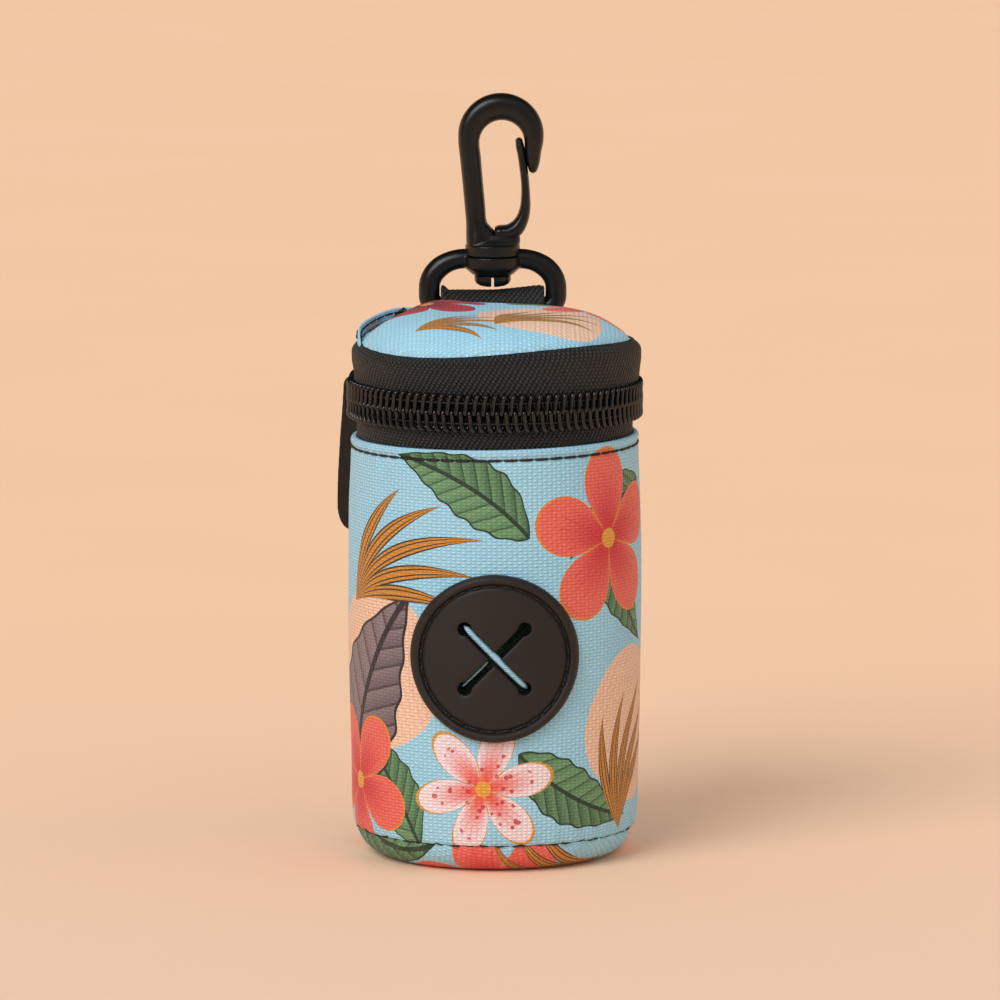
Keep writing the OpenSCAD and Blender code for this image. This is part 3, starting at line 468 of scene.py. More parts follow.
def crossed_cut(piece, y, depth, length, width, end):
    """Cuts the port's crossed slits, with round holes at their ends, to a depth each way from y."""
    cutter = bmesh.new()
    round_end = np.linspace(-1, 1, 17) * (math.pi - math.asin(min(width / end, 1)))
    reach = length / 2 - end / 2
    ring = [(side * (reach + end / 2 * math.cos(k)), side * end / 2 * math.sin(k))
            for side in (1, -1) for k in round_end]
    for turn in (45, -45):
        c, s = math.cos(math.radians(turn)), math.sin(math.radians(turn))
        ends = [[cutter.verts.new(((c * x - s * z) * MM, at * MM, (s * x + c * z + PORT_Z) * MM))
                 for x, z in ring] for at in (y - depth, y + depth)]
        cutter.faces.new(ends[0])
        cutter.faces.new(ends[1][::-1])
        for k in range(len(ring)):
            cutter.faces.new((ends[0][k], ends[1][k], ends[1][k - 1], ends[0][k - 1]))
    bmesh.ops.recalc_face_normals(cutter, faces=cutter.faces)
    carve(piece, cutter)


def carve(piece, cutter):
    """Cuts a solid, built up in a bmesh, away from a piece."""
    mesh = bpy.data.meshes.new("knife")
    cutter.to_mesh(mesh)
    cutter.free()
    knife = bpy.data.objects.new("knife", mesh)
    bpy.context.collection.objects.link(knife)
    cut = piece.modifiers.new("cut", "BOOLEAN")
    cut.operation = "DIFFERENCE"
    cut.solver = "EXACT"
    cut.use_self = True
    cut.object = knife
    settle(piece)
    bpy.data.objects.remove(knife)


def settle(piece):
    """Applies a piece's modifiers to its mesh."""
    bpy.context.view_layer.update()
    graph = bpy.context.evaluated_depsgraph_get()
    done = bpy.data.meshes.new_from_object(piece.evaluated_get(graph))
    piece.modifiers.clear()
    piece.data = done


def put(piece, body, material, slot, *nodes):
    """Gives a piece its material and its body, and hides the CAD nodes that it stands for; slot is
    not used.
    """
    piece.data.materials.clear()
    piece.data.materials.append(material)
    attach(piece, body)
    if nodes:
        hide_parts(*nodes)
    return piece


PORT_Z = 37.6
SLIT_L = 16.8
CLOTH_SLIT_W = 1.0
WALL_SLIT_W = 3.2
WALL_SLIT_MORE = 2.6
crossed_cut(wall, -24, 6, SLIT_L + WALL_SLIT_MORE, WALL_SLIT_W, WALL_SLIT_W)
put(wall, "pouch", printed_oxford("printed_oxford_wall", WALL_LAYOUT), "printed_cloth",
    "body_outer", "body_foam")

# Topstitch: black bonded polyester thread, lockstitched through the turned hem.
# Each stitch is pulled down at its ends and stands a little proud between them.
THREAD_D = 0.4
ROUND_V = 6.283


def woven(made, tree, weave, low, high, dark, light, strength, depth, **look):
    """Ends a woven material: the height of its weave paints it lighter on the crowns and darker in
    the hollows, as painted light and shade, and roughens it.
    """
    tone = add(tree, "MapRange", Value=weave, From_Min=low, From_Max=high)
    ink = add(tree, "Mix RGBA", tone, dark, light)
    bump = add(tree, "Bump", Height=weave, Strength=strength, Distance=depth)
    return surface(made, tree, Base_Color=ink, Normal=bump, **look)


def thread():
    """Bonded polyester thread: three twisted black plies, with a slight wax shine."""
    made, t = blank("bonded_thread")
    flat = add(t, "SeparateXYZ", add(t, "UVMap", uv_map="cloth"))
    turn = add(t, "Math MULTIPLY_ADD", flat.outputs["X"], 9.0, flat.outputs["Y"])
    ply = add(t, "Math SINE", turn)
    # The plies' crests are painted lighter and their grooves darker: painted light and shade.
    return woven(made, t, ply, -1.0, 1.0, "#080808", "#1a1817", 0.5, 0.00005, Roughness=0.5)


def unit(v):
    """Vectors brought to length 1."""
    return v / np.linalg.norm(v, axis=-1, keepdims=True)


def tubes(name, centre, out, radius, sides=8, closed=False):
    """Round tubes along rows of points (tube, point, xyz), with out as each point's way up and
    radius at each.
    """
    count, knots = centre.shape[:2]
    along = unit(np.gradient(centre, axis=1))
    if closed:
        along = unit(np.roll(centre, -1, 1) - np.roll(centre, 1, 1))
    across = unit(np.cross(along, out))
    up = np.cross(across, along)
    k = 2 * np.pi * np.arange(sides) / sides
    ring = across[..., None, :] * np.cos(k)[:, None] + up[..., None, :] * np.sin(k)[:, None]
    points = centre[..., None, :] + ring * np.broadcast_to(radius, (count, knots))[..., None, None]
    far = np.concatenate([np.zeros((count, 1)), np.cumsum(np.linalg.norm(np.diff(centre, axis=1),
                                                                         axis=-1), 1)], 1)
    faces, places = [], []
    grid = np.arange(count * knots * sides).reshape(count, knots, sides)
    for i in range(knots if closed else knots - 1):
        n = (i + 1) % knots
        for j in range(sides):
            m = (j + 1) % sides
            faces.append(np.stack([grid[:, i, j], grid[:, n, j], grid[:, n, m], grid[:, i, m]], -1))
            d0, d1 = far[:, i], far[:, n]
            e0, e1 = (np.full(count, n / sides * ROUND_V) for n in (j, j + 1))
            places.append(np.stack([np.stack(c, -1) for c in ((d0, e0), (d1, e0), (d1, e1),
                                                              (d0, e1))], 1))
    faces = np.concatenate(faces).tolist()
    places = np.concatenate(places).reshape(-1, 2)
    if not closed:
        caps = np.concatenate([grid[:, 0, ::-1], grid[:, -1, :]])
        faces += caps.tolist()
        places = np.concatenate([places, np.zeros((len(caps) * sides, 2))])
    mesh = bpy.data.meshes.new(name)
    mesh.from_pydata((points.reshape(-1, 3) * MM).tolist(), [], faces)
    mesh.uv_layers.new(name="cloth").data.foreach_set("uv", places.ravel())
    return finish_piece(name, mesh)


def stitches(name, place, total, length=2.7, gap=0.04, thread_d=THREAD_D):
    """A run of stitches; place(s) gives the cloth's points and ways out at distances s."""
    count = max(int(total // (length + gap)), 1)
    k = np.linspace(0, 1, 9)
    s = np.arange(count)[:, None] * total / count + k * length * total / count / (length + gap)
    points, out = place(s)
    rise = thread_d * (0.6 * np.sin(np.pi * k) ** 0.5 - 0.3)
    girth = thread_d / 2 * np.sqrt(1.2 - np.abs(2 * k - 1) ** 10)
    return tubes(name, points + out * rise[:, None], out, girth, sides=6)


def round_wall(z, lift=0.0):
    """Where a horizontal row of stitches runs on the wall."""
    def place(s):
        a = np.pi - s / FLAT_R
        return wall_point(a, z, lift), round_at(a, 1.0, 0.0)
    return place


THREAD = thread()
hem_stitch = stitches("hem_topstitch", round_wall(STITCH_Z, 0.05), 2 * math.pi * FLAT_R)
put(hem_stitch, "pouch", THREAD, "printed_cloth")

# Base: a disc of the same padded cloth, sewn to the wall from inside and turned out, so it bulges
# below the seam. The seam pulls it into small gathers, and the thread shows in the crease.
FOOT_R = 18.2
BASE_IN = 2.5
BASE_LAYOUT = [("green", 260, 6, 30, 34), ("peach", 320, -8, 10, 13), ("ruby", 284, -12, 0, 12),
               ("coral", 300, 16, 40, 13), ("reeds", 318, 12, 170, 24)]


def base_point(a, t):
    """Point on the base at angle a; t runs from 0 on the flat foot's edge to 1 at the seam."""
    gather = 0.16 * np.sin(37 * a + 1.2 * np.sin(5 * a)) * np.exp(-((1 - t) / 0.35) ** 2)
    sag = 0.25 * np.sin(3 * a + 0.5) * t * (1 - t)
    r = FOOT_R + (SEAM_R - 0.15 - FOOT_R) * np.sin(t * math.pi / 2) + gather + sag
    z = SEAM_Z * (1 - np.cos(t * math.pi / 2)) + 0 * a
    return round_at(a, r, z)


rings = [round_at(angles, r, z) for r, z in ((0, BASE_IN), (8, BASE_IN), (16, BASE_IN), (21.0, 3.6),
                                             (22.6, SEAM_Z - 0.12))]
rings += [base_point(angles, t) for t in np.linspace(1, 0, 18)]
rings += [round_at(angles, r, 0.0) for r in (17.5, 14, 10, 5, 0)]
grid = np.stack(rings)
far = np.linalg.norm(grid[..., :2], axis=-1)
spread = np.concatenate([far[:5, 0], FOOT_R + 7 * np.linspace(1, 0, 18), far[-5:, 0]])
around_a = np.pi - 2 * np.pi * np.arange(AROUND + 1) / AROUND
flat = np.stack([300 - spread[:, None] * np.sin(around_a), spread[:, None] * np.cos(around_a)], -1)
base = skin("base_cloth", grid, flat, around=True, weld=True)
put(base, "pouch", printed_oxford("printed_oxford_base", BASE_LAYOUT), "printed_cloth",
    "base_panel", "base_foam")


def seam_place(s):
    """Where the thread runs in the crease of the base seam, at distance s."""
    a = np.pi - s / FLAT_R
    r = SEAM_R - 0.12 + 0.08 * np.sin(23 * a)
    z = SEAM_Z + 0.03 + 0.10 * np.sin(61 * a) + 0.08 * np.sin(17 * a)
    return round_at(a, r, z), round_at(a, 1.0, 0.0)


seam_thread = stitches("base_seam_thread", seam_place, 2 * math.pi * FLAT_R, length=2.9, gap=0.12,
                       thread_d=0.34)
put(seam_thread, "pouch", THREAD, "printed_cloth")

# Lining: thin black plain-weave polyester behind the foam, with folded bindings over the seams
# inside. It steps in at the hem, where it is sewn to the tape, and a round of it covers the base
# pad.
TAPE_IN_R = 23.2
LINING_T = 0.3
FLOOR_Z = 3.0
BINDING_T = 1.1


def plain_lining():
    """Plain-weave polyester lining: even yarns 0.35 mm apart, drawn at 0.5, dull and silky."""
    made, t = blank("plain_lining")
    p = add(t, "SeparateXYZ", add(t, "UVMap", uv_map="cloth"))
    over = add(t, "Math SINE", add(t, "Math MULTIPLY", p.outputs["X"], math.pi / 0.5))
    across = add(t, "Math SINE", add(t, "Math MULTIPLY", p.outputs["Y"], math.pi / 0.5))
    weave = add(t, "Math MULTIPLY", over, across)
    # The yarn crossings are painted lighter and the gaps darker: painted light and shade.
    return woven(made, t, weave, -1.0, 1.0, "#171617", "#2f2d2e", 0.5, 0.00008, Roughness=0.6,
                 Sheen_Weight=0.25)


def lathe(name, profile, ripple=0.0, around=180, weld=False, closed=True):
    """A piece turned from a profile of (radius, height); ripple is how far it wavers."""
    a = np.pi - 2 * np.pi * np.arange(around) / around
    r, z = np.array(profile, float).T
    waver = ripple * np.sin(7 * a[None, :] + 0.3 * z[:, None]) * np.sin(z[:, None] / 3 + 2
                                                                        * np.sin(3 * a[None, :]))
    r = r[:, None] + waver * (r[:, None] > 0.01)
    points = round_at(a, r, z[:, None])
    far = np.concatenate([[0], np.cumsum(np.hypot(*np.diff(profile, axis=0).T))])
    far = np.concatenate([far, far[-1:] + 1]) if closed else far
    return skin(name, points, flat_grid(around, far), around=True, loop=closed, weld=weld)


LINING = plain_lining()
rise = np.linspace(SEAM_Z + 0.4, FOLD_Z, 26)
out_line = [(float(barrel(z)) - QUILT_T - 0.15, z) for z in rise] + [(TAPE_IN_R - 0.12,
                                                                      FOLD_Z + 2.4),
                                                                     (TAPE_IN_R - 0.12,
                                                                      HEM_Z - 0.3)]
in_line = [(r - LINING_T, z) for r, z in out_line[::-1]]
wall_lining = lathe("wall_lining", out_line + in_line, ripple=0.06)
crossed_cut(wall_lining, -21, 4, SLIT_L, CLOTH_SLIT_W, CLOTH_SLIT_W)
put(wall_lining, "pouch", LINING, "lining", "body_lining")
floor_line = [(0, FLOOR_Z), (8, FLOOR_Z), (16, FLOOR_Z), (21.0, FLOOR_Z - 0.02),
              (21.2, FLOOR_Z - 0.15), (21.0, FLOOR_Z - 0.3), (8, FLOOR_Z - 0.3), (0, FLOOR_Z - 0.3)]
floor_lining = lathe("base_lining_disc", floor_line, weld=True, closed=False)
put(floor_lining, "pouch", LINING, "lining", "base_lining")


def binding_line(r, low, high):
    """Profile of a folded binding standing against the inside at radius r."""
    k = np.linspace(0, math.pi, 9)
    return [(r - BINDING_T / 2 + BINDING_T / 2 * math.cos(x), z + BINDING_T / 2 * math.sin(x))
            for z, turned in ((high - BINDING_T / 2, k), (low + BINDING_T / 2, k + math.pi))
            for x in turned]


put(lathe("base_seam_binding", binding_line(21.1, FLOOR_Z + 0.1, FLOOR_Z + 6.1), ripple=0.08),
    "pouch", LINING, "binding", "base_binding")

# Bag port: a disc of moulded black rubber, bent to the wall and stitched on through a groove inside
# its rim. The crossed slit ends in small round holes, and a fold of the printed cloth behind shows
# in one arm.
PORT_R = 14.4
GROOVE_R = 12.5
SLIT_W = 1.6
SLIT_END = 2.4


def slit_gap(x, z):
    """Distance from a point of the port to the edge of the crossed slit."""
    gaps = []
    for s in (1, -1):
        p, q = (x + s * z) / math.sqrt(2), (z - s * x) / math.sqrt(2)
        reach = SLIT_L / 2 - SLIT_END / 2
        gaps.append(np.hypot(np.maximum(np.abs(p) - reach, 0), q) - SLIT_W / 2)
        gaps.append(np.hypot(np.abs(p) - reach, q) - SLIT_END / 2)
    return np.minimum.reduce(gaps)


def port_point(x, z, lift):
    """Point over the wall at x and at height z above the port's centre."""
    a = -np.arcsin(np.clip(x / 25.0, -1, 1))
    r = barrel(PORT_Z + z) + dent(a, PORT_Z + z) + 0.1 + lift
    return np.stack([x, -np.sqrt(r ** 2 - x ** 2), PORT_Z + z + 0 * x], -1)


def mottled(name, dark, light, cloud, gloss, grain=None, **look):
    """A smooth material whose colour and gloss drift in clouds of (scale, detail).

    grain gives the (scale, detail, strength, depth) of its fine bump.
    """
    made, t = blank(name)
    at = add(t, "TexCoord").outputs["Object"]
    drift = add(t, "TexNoise", Vector=at, Scale=cloud[0], Detail=cloud[1])
    if grain:
        scale, detail, strength, depth = grain
        fine = add(t, "TexNoise", Vector=at, Scale=scale, Detail=detail)
        look["Normal"] = add(t, "Bump", Height=fine, Strength=strength, Distance=depth)
    ink = add(t, "Mix RGBA", drift, dark, light)
    shine = add(t, "MapRange", Value=drift, To_Min=gloss[0], To_Max=gloss[1])
    return surface(made, t, Base_Color=ink, Roughness=shine, **look)


def moulded_rubber():
    """Compression-moulded black rubber: fine blasted grain, a soft warm grey bloom, dull gloss."""
    return mottled("moulded_rubber", "#1b1713", "#261f19", (90.0, 3.0), (0.5, 0.62),
                   grain=(3500.0, 2.0, 0.35, 0.00004), IOR=1.52, Specular_IOR_Level=0.36)


profile = [(r, 1.3) for r in np.linspace(0, 11.8, 52)] + [(12.0, 1.24), (12.2, 1.08), (12.38, 0.88),
                                                          (12.6, 0.86), (12.76, 1.05), (12.9, 1.42),
                                                          (13.1, 1.66), (13.4, 1.77), (13.7, 1.76),
                                                          (14.0, 1.62), (14.22, 1.33),
                                                          (14.36, 0.95), (PORT_R, 0.5),
                                                          (14.36, 0.06), (13.9, 0.0), (10, 0.0),
                                                          (5, 0.0), (0, 0.0)]
k = 2 * np.pi * np.arange(200) / 200
rings = []
for rho, lift in profile:
    x, z = rho * np.cos(k), rho * np.sin(k)
    round_off = 0.2 * np.exp(-np.maximum(slit_gap(x, z), 0)
                             / 0.2) if lift > 1.25 and rho < 11.9 else 0
    rings.append(port_point(x, z, lift - round_off))
port = skin("slit_port_disc", np.stack(rings), around=True, weld=True)
crossed_cut(port, -26, 5, SLIT_L, SLIT_W, SLIT_END)
put(port, "pouch", moulded_rubber(), "port_rubber", "slit_port")


def groove_place(s):
    """Where the port's stitches run in the groove inside its rim, at distance s."""
    k = s / GROOVE_R
    x, z = GROOVE_R * np.cos(k), GROOVE_R * np.sin(k)
    points = port_point(x, z, 0.92)
    return points, unit(np.stack([points[..., 0], points[..., 1], 0 * x], -1))


put(stitches("port_stitching", groove_place, 2 * math.pi * GROOVE_R, length=2.2, gap=0.45,
             thread_d=0.4), "pouch", THREAD, "port_rubber")


def slit_fold(name, turn, start, end, width, height, aside):
    """A fold of the cloth behind the port that shows in one arm of the slit."""
    s = np.linspace(start, end, 40)
    ease = np.sqrt(np.clip(1 - (2 * (s - start) / (end - start) - 1) ** 8, 0.02, 1))
    k = np.linspace(0, 2 * np.pi, 16, endpoint=False)
    c, sn = math.cos(math.radians(turn)), math.sin(math.radians(turn))
    p = s[:, None] + 0 * k
    q = aside + width / 2 * np.cos(k) * ease[:, None]
    lift = height * np.sin(k) * ease[:, None] - 0.1
    x, z = c * p - sn * q, sn * p + c * q
    fold = skin(name, port_point(x, z, lift), around=True,
                flat=np.stack(np.broadcast_arrays(p[:, :1] * 0.2 + 420,
                                                  np.linspace(0, 4, 17) + p[:, :1]), -1))
    return put(fold, "pouch", SLIT_CLOTH, "printed_cloth")


SLIT_CLOTH = printed_oxford("printed_oxford_slit", [("reeds", 420.6, -7.6, 90, 3.0)])
slit_fold("slit_cloth_fold", -45, -7.6, 7.6, 1.15, 0.8, aside=0.22)
slit_fold("slit_cloth_edge", 45, -7.3, -1.2, 0.4, 0.3, aside=0.4)

# Zip tapes: woven polyester tape in a fine diagonal twill, one half sewn inside the hem, the other
# to the lid. The upper half is also the band of the lid: it swells out above the chain and turns in
# to the rim seam.
CHAIN_Z = 79.35
TAPE_R = 23.8
TAPE_END = math.radians(145)
RIM_Z = 88.95
RIM_TILT = 0.17
RIM_TWIST = 0.87
RIM_BACK = 0.35
RIM_PULL = 1.8
PART_A = math.radians(126)
PARTED_H = 1.7
BAND_LOW = 80.5
BAND_ASIDE = 0.35
RIB_MM = 0.95
PICK_MM = 0.8


def twill_tape():
    """Woven polyester zip tape: a black twill whose slanting ribs break into beads, dull, with
    small dry glints painted grey on the beads' crowns and painted shade between them.

    The real ribs are 0.5 mm apart and are drawn at 0.95, so that they show.
    """
    made, t = blank("twill_tape")
    p = add(t, "SeparateXYZ", add(t, "UVMap", uv_map="cloth"))
    stray = add(t, "TexNoise", Vector=add(t, "UVMap", uv_map="cloth"), Scale=0.9)
    slant = add(t, "Math MULTIPLY_ADD", p.outputs["Y"], -0.6, p.outputs["X"])
    slant = add(t, "Math MULTIPLY_ADD", stray, 0.5, slant)
    rib = add(t, "Math SINE", add(t, "Math MULTIPLY", slant, 2 * math.pi / RIB_MM))
    pick = add(t, "Math MULTIPLY_ADD", p.outputs["X"], 0.9, p.outputs["Y"])
    pick = add(t, "Math SINE", add(t, "Math MULTIPLY", pick, 2 * math.pi / PICK_MM))
    weave = add(t, "Math MULTIPLY_ADD", pick, 0.75, rib)
    # The light colour is a painted glint on the bead crowns; the dark is painted shade between
    # them.
    return woven(made, t, weave, 0.0, 1.75, "#080808", "#403e3d", 0.9, 0.0002, Roughness=0.62,
                 Sheen_Weight=0.02)


def band_radius(z):
    """Radius of the upper tape's outside at height z."""
    z = np.asarray(z, float)
    return TAPE_R + 0.8 * step(z, 80.4, 82.4) + 0.35 * step(z, 83.0, 86.4) - 1.5 * step(z, 87.0,
                                                                                        89.3) ** 1.8


def rim_lift(a):
    """How far the rim seam wanders: up at the right of the front, and pulled up at the back left by
    the webbing.
    """
    front = 0.5 + 0.5 * np.cos(a)
    behind = np.mod(a, 2 * math.pi)
    wander = (0.1 * front - RIM_TWIST * front * np.sin(2 * a) - RIM_TILT * np.sin(a) + RIM_BACK
              * (1 - front) ** 1.5)
    wander = wander + RIM_PULL * np.exp(-((behind - 2.35) / 0.45) ** 2)
    return wander * (1 - 0.6 * np.exp(-((behind - math.pi) / 0.45) ** 4))


def strip(name, span, heights, radius, t=0.6, part=0.0):
    """A thin closed strip of cloth round the chain's line between two angles; part moves its edge
    off the chain.
    """
    a = np.linspace(*span, int(abs(span[1] - span[0]) / 0.017) + 4)
    z = np.concatenate([heights, heights[::-1]])
    r = np.concatenate([radius, radius[::-1] - t])
    thin = np.clip(np.minimum(np.abs(a - span[0]), np.abs(a - span[1])) / 0.008, 0, 1) ** 0.5
    middle = np.concatenate([radius, radius[::-1]]) - t / 2
    r = middle[:, None] + (r - middle)[:, None] * thin
    soft = 0.07 * np.sin(9 * a + 2 * np.sin(4 * a)) * step(z, 83, 86)[:, None]
    lift = rim_lift(a) * step(z, BAND_LOW, RIM_Z)[:, None]
    lift = lift + part * step(a, PART_A, PART_A + 0.08) * np.clip(1 - np.abs(z[:, None] - CHAIN_Z)
                                                                  / 5, 0, 1)
    aside = BAND_ASIDE * step(z, BAND_LOW, 83.5)[:, None] * step(np.cos(a), -0.85, -0.4)
    points = np.stack([aside - (r + soft) * np.sin(a), -(r + soft) * np.cos(a), z[:, None] + lift],
                      -1)
    far = np.concatenate([heights, 2 * heights[-1] - heights[::-1] + t,
                          [2 * heights[-1] - heights[0] + t]])
    flat = np.stack(np.broadcast_arrays(-a[None, :] * FLAT_R, far[:, None]), -1)
    return skin(name, points, flat, loop=True, weld=True)


TWILL = twill_tape()
low = np.concatenate([[66.2], np.linspace(68, CHAIN_Z - 0.3, 16)])
put(strip("zip_tape_low", (TAPE_END, -TAPE_END), low, np.full(len(low), TAPE_R), part=-PARTED_H),
    "pouch", TWILL, "zip_tape", "zip_tape_lower")
high = np.linspace(CHAIN_Z + 0.3, RIM_Z, 34)
put(strip("zip_band", (TAPE_END, -TAPE_END), high, band_radius(high), part=PARTED_H), "lid", TWILL,
    "zip_tape", "zip_tape_upper")

# Zip chain: two coils of nylon wire, each wound flat round a cord and sewn to its tape, their heads
# in mesh. A turn bends back on itself every 1.53 mm; the sewing thread crosses the legs along the
# middle of each coil.
WIRE_D = 0.78
COIL_W = 3.9
COIL_T = 2.05
COIL_R = 24.835
COIL_RISE = 1.4
PITCH = math.radians(3.52)
CHAIN_START = math.radians(-131)
TURNS = 72


def drawn_nylon():
    """Nylon monofilament, drawn and heat-set: smooth black wire, a bright glint on each bend."""
    return mottled("drawn_nylon", "#0a0909", "#141212", (400.0, 2.0), (0.16, 0.26),
                   IOR=1.53, Specular_IOR_Level=0.5)


def coil(name, side):
    """One wound coil; side is -1 below the meshing line and 1 above it."""
    phi = np.linspace(0, 2 * np.pi * TURNS, TURNS * 26 + 1)
    a = (CHAIN_START + (PITCH / 2 if side > 0 else 0) + PITCH * (phi - 0.85 * np.sin(phi))
         / (2 * np.pi))
    c, s = np.cos(phi), -np.sin(phi)
    flat_c, flat_s = np.sign(c) * np.abs(c) ** 0.7, np.sign(s) * np.abs(s) ** 0.65
    z = CHAIN_Z + side * (COIL_RISE - (COIL_W - WIRE_D) / 2 * flat_c)
    waist = 0.34 * (1 - np.abs(c) ** 1.5) * (s > 0)
    r = COIL_R + (COIL_T - WIRE_D) / 2 * flat_s - waist
    way = np.stack([-np.cos(a), np.sin(a), 0 * a], -1)
    return tubes(name, round_at(a, r, z)[None], way[None], WIRE_D / 2, sides=8)


def sewn_row(name, z):
    """The thread that holds a coil to its tape, dipping between the turns."""
    a = CHAIN_START + PITCH * np.linspace(0, TURNS, TURNS * 8)
    r = COIL_R + COIL_T / 2 - WIRE_D - 0.1 + 0.05 * np.cos(2 * np.pi * (a - CHAIN_START) / PITCH)
    return tubes(name, round_at(a, r, z)[None], round_at(a, 1.0, 0.0)[None], 0.16, sides=6)


NYLON = drawn_nylon()
for side, body, coil_name, node in ((-1, "pouch", "coil_low", "zip_coil_lower"),
                                    (1, "lid", "coil_high", "zip_coil_upper")):
    put(coil(coil_name, side), body, NYLON, "coil_nylon", node)
    put(sewn_row(coil_name + "_sewing", CHAIN_Z + side * 1.75), body, THREAD, "coil_nylon")

for node in ("zip_stops_lower", "zip_stops_upper"):
    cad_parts[node].data.materials.clear()
    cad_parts[node].data.materials.append(NYLON)

# Hinge cloth: a folded panel of the printed cloth that joins lid and pouch behind the zip.
# Its turned edges lap over the tape ends and are stitched down through them.
HINGE_LAYOUT = [("coral", -70, 82, 30, 13), ("green", -88, 79, 100, 24), ("peach", -79, 74, 0, 12)]
PLY_HALF = math.radians(34.5)
LAP_A = math.radians(5.5)
LAP_LIFT = 0.72
LAP_T = 0.68
LAP_STITCH = 0.76


def joined(name, pieces):
    """Pieces put together as one object."""
    with bpy.context.temp_override(active_object=pieces[0], object=pieces[0],
                                   selected_objects=pieces, selected_editable_objects=pieces):
        bpy.ops.object.join()
    pieces[0].name = name
    return pieces[0]


rise = np.linspace(FOLD_Z + 0.2, RIM_Z - 0.05, 80)
plies = [strip("ply", (math.pi - PLY_HALF, math.pi + PLY_HALF), rise, band_radius(rise))]
rise = np.linspace(HEM_Z + 0.3, RIM_Z - 0.05, 60)
for side in (-1, 1):
    edge = math.pi + side * PLY_HALF
    plies.append(strip("lap", (edge - side * 0.02, edge + side * LAP_A), rise,
                       band_radius(rise) + LAP_LIFT, t=LAP_T))
hinge = joined("hinge_cloth", plies)
hinge.data.materials.clear()
hinge.data.materials.append(printed_oxford("printed_oxford_hinge", HINGE_LAYOUT))
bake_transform(hinge)
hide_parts("hinge_panel")


def lap_row(a):
    """Where a row of stitches climbs a lap of the hinge cloth."""
    def place(s):
        z = HEM_Z + 1.0 + s
        r = band_radius(z) + LAP_STITCH
        return round_at(a, r, z + rim_lift(a) * step(z, BAND_LOW, RIM_Z)), round_at(a, 1.0, 0 * z)
    return place


rows = [stitches("row", lap_row(math.pi + side * (PLY_HALF + LAP_A / 2)), RIM_Z - HEM_Z - 1.6)
        for side in (-1, 1)]
lap_stitch = joined("hinge_stitching", rows)
lap_stitch.data.materials.append(THREAD)
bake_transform(lap_stitch)

# Lid crown: printed cloth over foam, sewn face down to the band and turned up, so that its edge
# tucks in sharply. The foam holds it as a low flat dome with full shoulders, a little fuller on the
# left.
CROWN_R = 23.2
CROWN_H = 5.24
CROWN_LEAN = 0.003
CROWN_T = 2.2
LID_LINING_IN = (2.3, 2.6)
LID_LAYOUT = [("peach", 509, -10, 0, 12.5), ("reeds", 500, -20, 62, 26),
              ("reeds", 484, -17, 20, 20), ("ruby", 486, 8, 25, 13), ("coral", 519, 8, 10, 12),
              ("green", 502, 14, 15, 24)]


def crown_point(a, u, inset=0.0):
    """Point on the crown at angle a and fraction u from middle to seam, inset under its face."""
    behind = np.mod(a, 2 * math.pi)
    slack = 0.78 + 1.6 * np.exp(-((behind - 2.0) / 0.45) ** 2) + 0.36 * np.exp(-((behind - 4.5)
                                                                                 / 0.7) ** 2)
    rise = (CROWN_H - inset) * np.maximum(1 - np.minimum(u, 1) ** 5.9, 0) ** slack
    gather = 0.07 * np.sin(35 * a + 1.3 * np.sin(5 * a)) * np.exp(-(1 - u) / 0.04)
    under = 0.3 * step(behind, 1.29, 1.47) * (1 - step(behind, 3.9, 4.0))
    r = (CROWN_R - inset - under) * u + (0.22 * np.exp(-((rise - 1.2) / 0.9) ** 2)
                                         + gather) * (inset == 0)
    x = -r * np.sin(a)
    dimple = 0.12 * np.sin(3 * a + 1) * u * (1 - u) * 4
    z = RIM_Z + 0.1 + rim_lift(a) * u ** 2 + rise * (1 - CROWN_LEAN * x) + dimple
    return round_at(a, r, z)


def dome(name, outer, inner, rings=54, brim=False):
    """A shell of the crown between two insets; a brim turns its edge out to the rim seam."""
    u = np.sin(np.linspace(0, math.pi / 2, rings))
    sheets = [crown_point(angles, u[:, None], outer), crown_point(angles, u[::-1, None], inner)]
    spread = [u, u[::-1]]
    if brim:
        edge = crown_point(angles, np.ones((1, 1)), 0.2)
        sheets[1:1] = [edge - [0, 0, 0.15], edge - [0, 0, 0.45]]
        spread[1:1] = [np.array([1.1]), np.array([1.12])]
    spread = np.concatenate(spread)[:, None] * (CROWN_R + 4)
    flat = np.stack([500 - spread * np.sin(around_a), -spread * np.cos(around_a)], -1)
    return skin(name, np.concatenate(sheets), flat, around=True, weld=True)


crown = dome("lid_crown", 0.0, CROWN_T)
put(crown, "lid", printed_oxford("printed_oxford_lid", LID_LAYOUT), "printed_cloth", "lid_top",
    "lid_foam")
lid_lining = dome("lid_lining_dome", *LID_LINING_IN, rings=30, brim=True)
put(lid_lining, "lid", LINING, "lining", "lid_lining")
put(lathe("rim_seam_binding", binding_line(23.05, RIM_Z - 4.3, RIM_Z - 0.1), ripple=0.08), "lid",
    LINING, "binding", "lid_binding")

# Rim facing: a folded strip of the printed cloth, caught in the rim seam round the back and left
# standing as a lip. A row of stitches holds its two plies together, and the webbing presses it down
# where it crosses.
FACING = (math.radians(80), math.radians(226))
FACING_R = 23.45
FACING_T = 0.5
FACING_H = 2.25
FACING_IN = 0.09
FACING_ROW = 0.66


def facing_point(a, q, side):
    """Point on the lip at angle a, q from 0 in the seam to 1 on top; side is 1 outside, -1 in."""
    ends = np.clip(np.minimum(a - FACING[0], FACING[1] - a) / 0.22, 0, 1)
    tall = FACING_H * ends ** 0.5 * (1 - 0.42 * np.exp(-((a - math.pi) / 0.4) ** 6))
    half = FACING_T / 2 * np.sqrt(np.clip(1 - q ** 8, 0, 1)) * np.clip(ends * 12, 0, 1) ** 0.5
    wave = 0.08 * np.sin(11 * a) * q
    r = FACING_R + wave + side * half
    z = RIM_Z - 0.35 + rim_lift(a) + tall * q
    return round_at(a, r, z)


